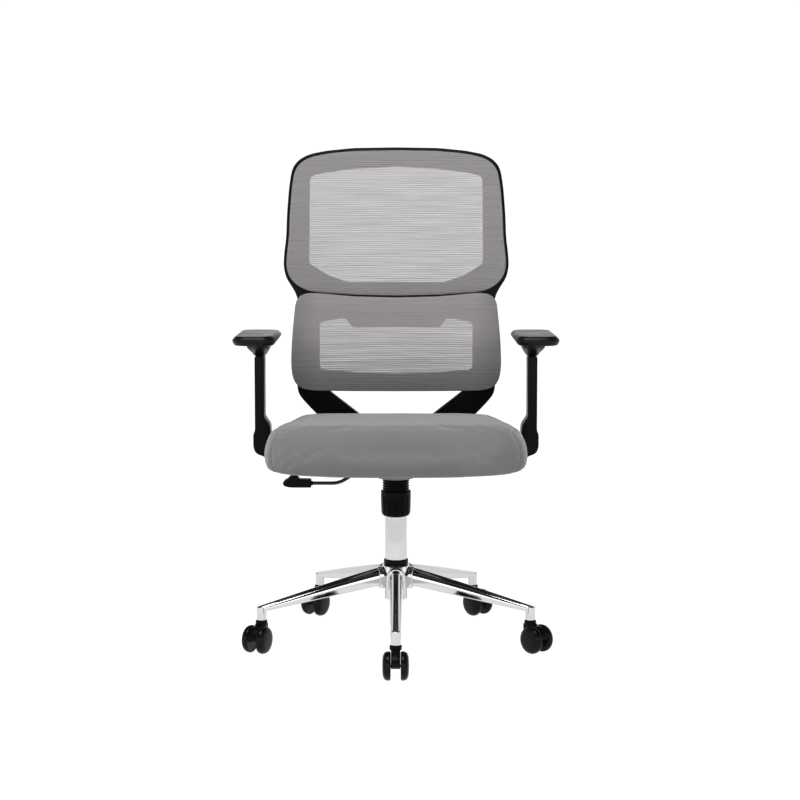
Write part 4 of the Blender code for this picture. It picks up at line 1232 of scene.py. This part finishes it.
def strut_recess(_, along):
    """The front face is sunk only on the V struts."""
    below_uprights = clamped((0.548 - along) / 0.010)
    above_tongue = clamped((along - TONGUE_START - 0.020) / 0.020)
    return 0.0040 * below_uprights * above_tongue


def rear_recess(across, along):
    return 0.30 * frame_rear(across, along)


def stretched_cloth(outline, front, wrap):
    """One sheet of mesh, flat over its carrier and turned back round the carrier's edge."""
    loop = even(outline, 0.006)
    radius, slack = 0.0032, 0.0004
    rings = [(cut + slack, front + lift) for cut, lift in quarter(radius, 5)]
    rings += [(slack, front + wrap - 0.002), (0.0026, front + wrap)]
    points = [back_place(x, v, depth) for cut, depth in rings for x, v in inset(loop, cut)]
    faces = walls(len(loop), len(rings))
    flat, triangles = filled([inset(loop, radius + slack)], 0.012)
    start = len(points)
    points += [back_place(x, v, front) for x, v in flat]
    faces += [tuple(start + i for i in face) for face in triangles]
    return points, faces


def carrier_posts():
    """Four blocks that hold the lumbar carrier off the frame."""
    posts = []
    for side in (-1, 1):
        for height in (0.600, 0.700):
            x, y, z = back_place(side * 0.205, height, -0.0008)
            outline = rounded_rectangle(0.009, 0.015, 0.003, 4)
            outline = [(x + a, z + b) for a, b in outline]
            posts.append(slab(outline, y - 0.0205, y - 0.0010, 0.001, "Y", steps=2))
    return posts


def carrier(outline, window, front):
    return sheet_plate(outline, [window], level(front), level(front + CARRIER_DEPTH), 0.0018)


def make_back():
    outline, upper, lower = frame_loops()
    rim = (0.0055, strut_recess, rear_recess)
    piece("spine_frame", sheet_plate(outline, [upper, lower], level(0), frame_rear, 0.0022, rim=rim),
          "black_plastic", "seat", ["back_frame"], crease=30)
    ring = carrier(upper_outline(), upper_window(), UPPER_CARRIER_FRONT)
    piece("upper_ring", ring, "carrier_plastic", "seat", ["upper_carrier"], crease=30)
    ring = carrier(lumbar_outline(), lumbar_window(), LUMBAR_CARRIER_FRONT)
    piece("lumbar_ring", merged(ring, *carrier_posts()), "carrier_plastic", "seat", ["lumbar_carrier"],
          crease=30)
    for label, outline, front, look, flat in (
        ("upper", upper_outline(), UPPER_CARRIER_FRONT, "back_mesh", (0.530, 0.375)),
        ("lumbar", lumbar_outline(), LUMBAR_CARRIER_FRONT, "lumbar_fabric", (0.505, 0.250)),
    ):
        shape = stretched_cloth(outline, front - CLOTH_LIFT, CLOTH_WRAP)
        cloth = piece(f"{label}_cloth", shape, look, "seat", [f"{label}_mesh"], crease=180,
                      slot="back_mesh")


# ---- arms

def arm_support_shape(side):
    profile = soften([
        (0.1300, 0.3992), (0.2720, 0.3992), (0.2860, 0.4050), (0.2960, 0.4140), (0.3090, 0.4180),
        (0.3165, 0.4250), (0.3195, 0.4360), (0.3195, 0.4640), (0.3155, 0.4720), (0.3155, POST_TOP),
        (0.2945, POST_TOP), (0.2945, 0.5010), (0.2820, 0.4830), (0.2790, 0.4350), (0.2740, 0.4200),
        (0.2600, 0.4100), (0.2400, 0.4079), (0.1300, 0.4079),
    ], 0.006, 4, closed=True)
    return slab([(side * x, z) for x, z in profile], ARM_Y - 0.0275, ARM_Y + 0.0275, 0.0022, "Y", steps=3)


def arm_head_shape(side):
    levels = (
        (0.4950, 0.0065, 0.0065, 0.0217, 0.0), (0.6400, 0.0065, 0.0065, 0.0217, 0.0),
        (0.6403, 0.0065, 0.0065, 0.0217, 0.0), (0.6404, 0.0106, 0.0118, 0.0262, 0.0),
        (0.6412, 0.0114, 0.0127, 0.0270, 0.0), (0.6437, 0.0128, 0.0160, 0.0300, -0.001),
        (0.6490, 0.0152, 0.0190, 0.0390, -0.0045), (0.6547, 0.0186, 0.0222, 0.0520, -0.010),
        (0.6620, 0.0220, 0.0248, 0.0660, -0.016), (0.6695, 0.0232, 0.0258, 0.0770, -0.0195),
        (0.6718, 0.0232, 0.0258, 0.0780, -0.020),
    )
    rings = []
    for height, outboard, inboard, half_y, shift in levels:
        half = (outboard + inboard) / 2
        middle = (outboard - inboard) / 2
        corner = min(half * 0.45, 0.008)
        ring = rounded_rectangle(half, half_y, corner, 5)
        rings.append([(side * (ARM_X + middle + u), ARM_Y + shift + y, height) for u, y in ring])
    return loft(rings)


def arm_button_shape(side):
    outline = soften([(0.0125, 0.6447), (0.0156, 0.6447), (0.0208, 0.6559), (0.0125, 0.6559)], 0.0008, 2,
                     closed=True)
    outline = [(side * (ARM_X + u), z) for u, z in outline]
    return slab(outline, ARM_Y - 0.011, ARM_Y + 0.011, 0.0004, "Y")


def arm_pad_shape(side):
    """A moulded pad: a ridge round its sides, a rounded upper edge and a faintly dished top."""
    middle = (PAD_FLOOR + PAD_TOP) / 2
    levels = (
        (PAD_FLOOR, 0.0385, 0.1170, 0.024), (PAD_FLOOR + 0.0003, 0.0412, 0.1193, 0.025),
        (PAD_FLOOR + 0.0014, 0.0430, 0.1208, 0.026), (middle - 0.0030, 0.0463, 0.1238, 0.029),
        (middle - 0.0008, 0.0472, 0.1248, 0.030), (middle + 0.0012, 0.0472, 0.1248, 0.030),
        (middle + 0.0034, 0.0462, 0.1240, 0.029), (PAD_TOP - 0.0034, 0.0432, 0.1212, 0.027),
        (PAD_TOP - 0.0014, 0.0412, 0.1197, 0.026), (PAD_TOP - 0.0003, 0.0388, 0.1174, 0.024),
        (PAD_TOP, 0.0360, 0.1148, 0.022), (PAD_TOP - 0.0003, 0.0300, 0.1090, 0.018),
        (PAD_TOP - 0.0010, 0.0200, 0.0980, 0.014), (PAD_TOP - 0.0013, 0.0080, 0.0860, 0.006),
    )
    rings = []
    for height, half_x, half_y, corner in levels:
        fall = 0.0030 * (height - PAD_FLOOR) / (PAD_TOP - PAD_FLOOR)
        rings.append([(side * PAD_X + x, PAD_Y + y, height - fall * max(y / 0.125, 0.0))
                      for x, y in rounded_rectangle(half_x, half_y, corner, 10)])
    return loft(rings)


def make_arms():
    for label, side in (("right", -1), ("left", 1)):
        piece(f"arm_post_{label}", arm_support_shape(side), "black_plastic", "seat",
              [f"arm_support_{label}"])
        piece(f"arm_slide_{label}", arm_head_shape(side), "black_plastic", f"arm_{label}",
              [f"arm_head_{label}"])
        piece(f"height_button_{label}", arm_button_shape(side), "grey_plastic", f"button_{label}",
              [f"arm_button_{label}"])
        pad = piece(f"elbow_pad_{label}", arm_pad_shape(side), "pad_rubber", f"arm_{label}",
                    [f"arm_pad_{label}"], crease=60)


# ---- fasteners

def screw_shape(radius):
    """A button head with a round socket, facing +Z, its seat at z = 0."""
    dome = soften([(0, 0.0008), (radius * 0.42, 0.0008), (radius * 0.42, radius * 0.42),
                   (radius * 0.62, radius * 0.44), (radius, radius * 0.12), (radius, 0.0), (0, 0.0)],
                  radius * 0.12, 2)
    return lathe(dome, 24)


def make_screws():
    """Screws of the seat plate, the steel strap and the arm supports, seen from below."""
    spots = [(x, y, 0.4048) for y in (-0.095, 0.030) for x in (-0.075, 0.075)]
    spots += [(x, y, 0.3955) for y in (0.092, 0.168) for x in (-0.028, 0.028)]
    spots += [(side * x, y, 0.3992) for side in (-1, 1)
              for x, y in ((0.150, 0.022), (0.150, 0.058), (0.215, 0.040))]
    heads = [moved(screw_shape(SCREW_RADIUS), Matrix.Translation(spot) @ FACING_DOWN) for spot in spots]
    piece("seat_screws", merged(*heads), "bare_steel", "seat")


# ---- floor, light and camera

def make_stage():
    floor_look = Look("floor", (0.22, 0.22, 0.22), 0.9)
    floor_look.set("Emission Color", (1.0, 1.0, 1.0, 1.0))
    bounce = floor_look.node("ShaderNodeLightPath").outputs["Is Diffuse Ray"]
    glow = floor_look.mapped(bounce, 0.0, 1.0, 0.97, 0.42)
    floor_look.link(glow, floor_look.shader.inputs["Emission Strength"])
    reach = 30
    points = [(-reach, -reach, 0), (reach, -reach, 0), (reach, reach, 0), (-reach, reach, 0)]
    added("floor", mesh_of("floor", (points, [(0, 1, 2, 3)]), floor_look.material))


def area_light(name, spot, target, width, height, power):
    lamp = bpy.data.lights.new(name, "AREA")
    lamp.shape = "RECTANGLE"
    lamp.size = width
    lamp.size_y = height
    lamp.energy = power
    obj = added(name, lamp)
    obj.location = spot
    obj.rotation_euler = (Vector(target) - Vector(spot)).to_track_quat("-Z", "Y").to_euler()


def make_light():
    """A studio that is white at the horizon and below, dark above, with a pale ceiling and four lamps."""
    world = bpy.data.worlds.new("studio")
    bpy.context.scene.world = world
    world.use_nodes = True
    tree = world.node_tree
    background = tree.nodes["Background"]
    coords = tree.nodes.new("ShaderNodeTexCoord")
    axes = tree.nodes.new("ShaderNodeSeparateXYZ")
    ramp = tree.nodes.new("ShaderNodeValToRGB")
    elements = ramp.color_ramp.elements
    elements[0].color = (1, 1, 1, 1)
    elements[1].color = (0.35, 0.35, 0.35, 1)
    for position, value in ((0.34, 1.0), (0.46, 0.02), (0.93, 0.02), (0.97, 0.35)):
        elements.new(position).color = (value, value, value, 1)
    tree.links.new(coords.outputs["Generated"], axes.inputs["Vector"])
    tree.links.new(axes.outputs["Z"], ramp.inputs["Fac"])
    tree.links.new(ramp.outputs["Color"], background.inputs["Color"])
    background.inputs["Strength"].default_value = 1.05
    area_light("key", (-0.5, -1.1, 3.6), (0, -0.1, 0.5), 2.6, 1.4, 92)
    area_light("left_fill", (-3.4, -1.2, 1.6), (0, 0, 0.6), 1.6, 2.2, 6)
    area_light("right_fill", (3.4, -1.2, 1.6), (0, 0, 0.6), 1.6, 2.2, 6)
    area_light("front_strip", (0, -4.4, 1.60), (0, 0, 0.4), 6.0, 1.45, 46)


def make_camera():
    lens = bpy.data.cameras.new("camera")
    lens.lens = LENS_LENGTH
    lens.shift_y = FRAMING_SHIFT
    camera = added("camera", lens)
    camera.location = CAMERA_SPOT
    camera.rotation_euler = (math.radians(90 - CAMERA_PITCH), 0, 0)
    bpy.context.scene.camera = camera


dress_frame()
make_base()
make_casters()
make_mechanism()
make_seat()
make_back()
make_arms()
make_screws()
make_stage()
make_light()
make_camera()
bpy.context.scene.view_settings.view_transform = "Standard"
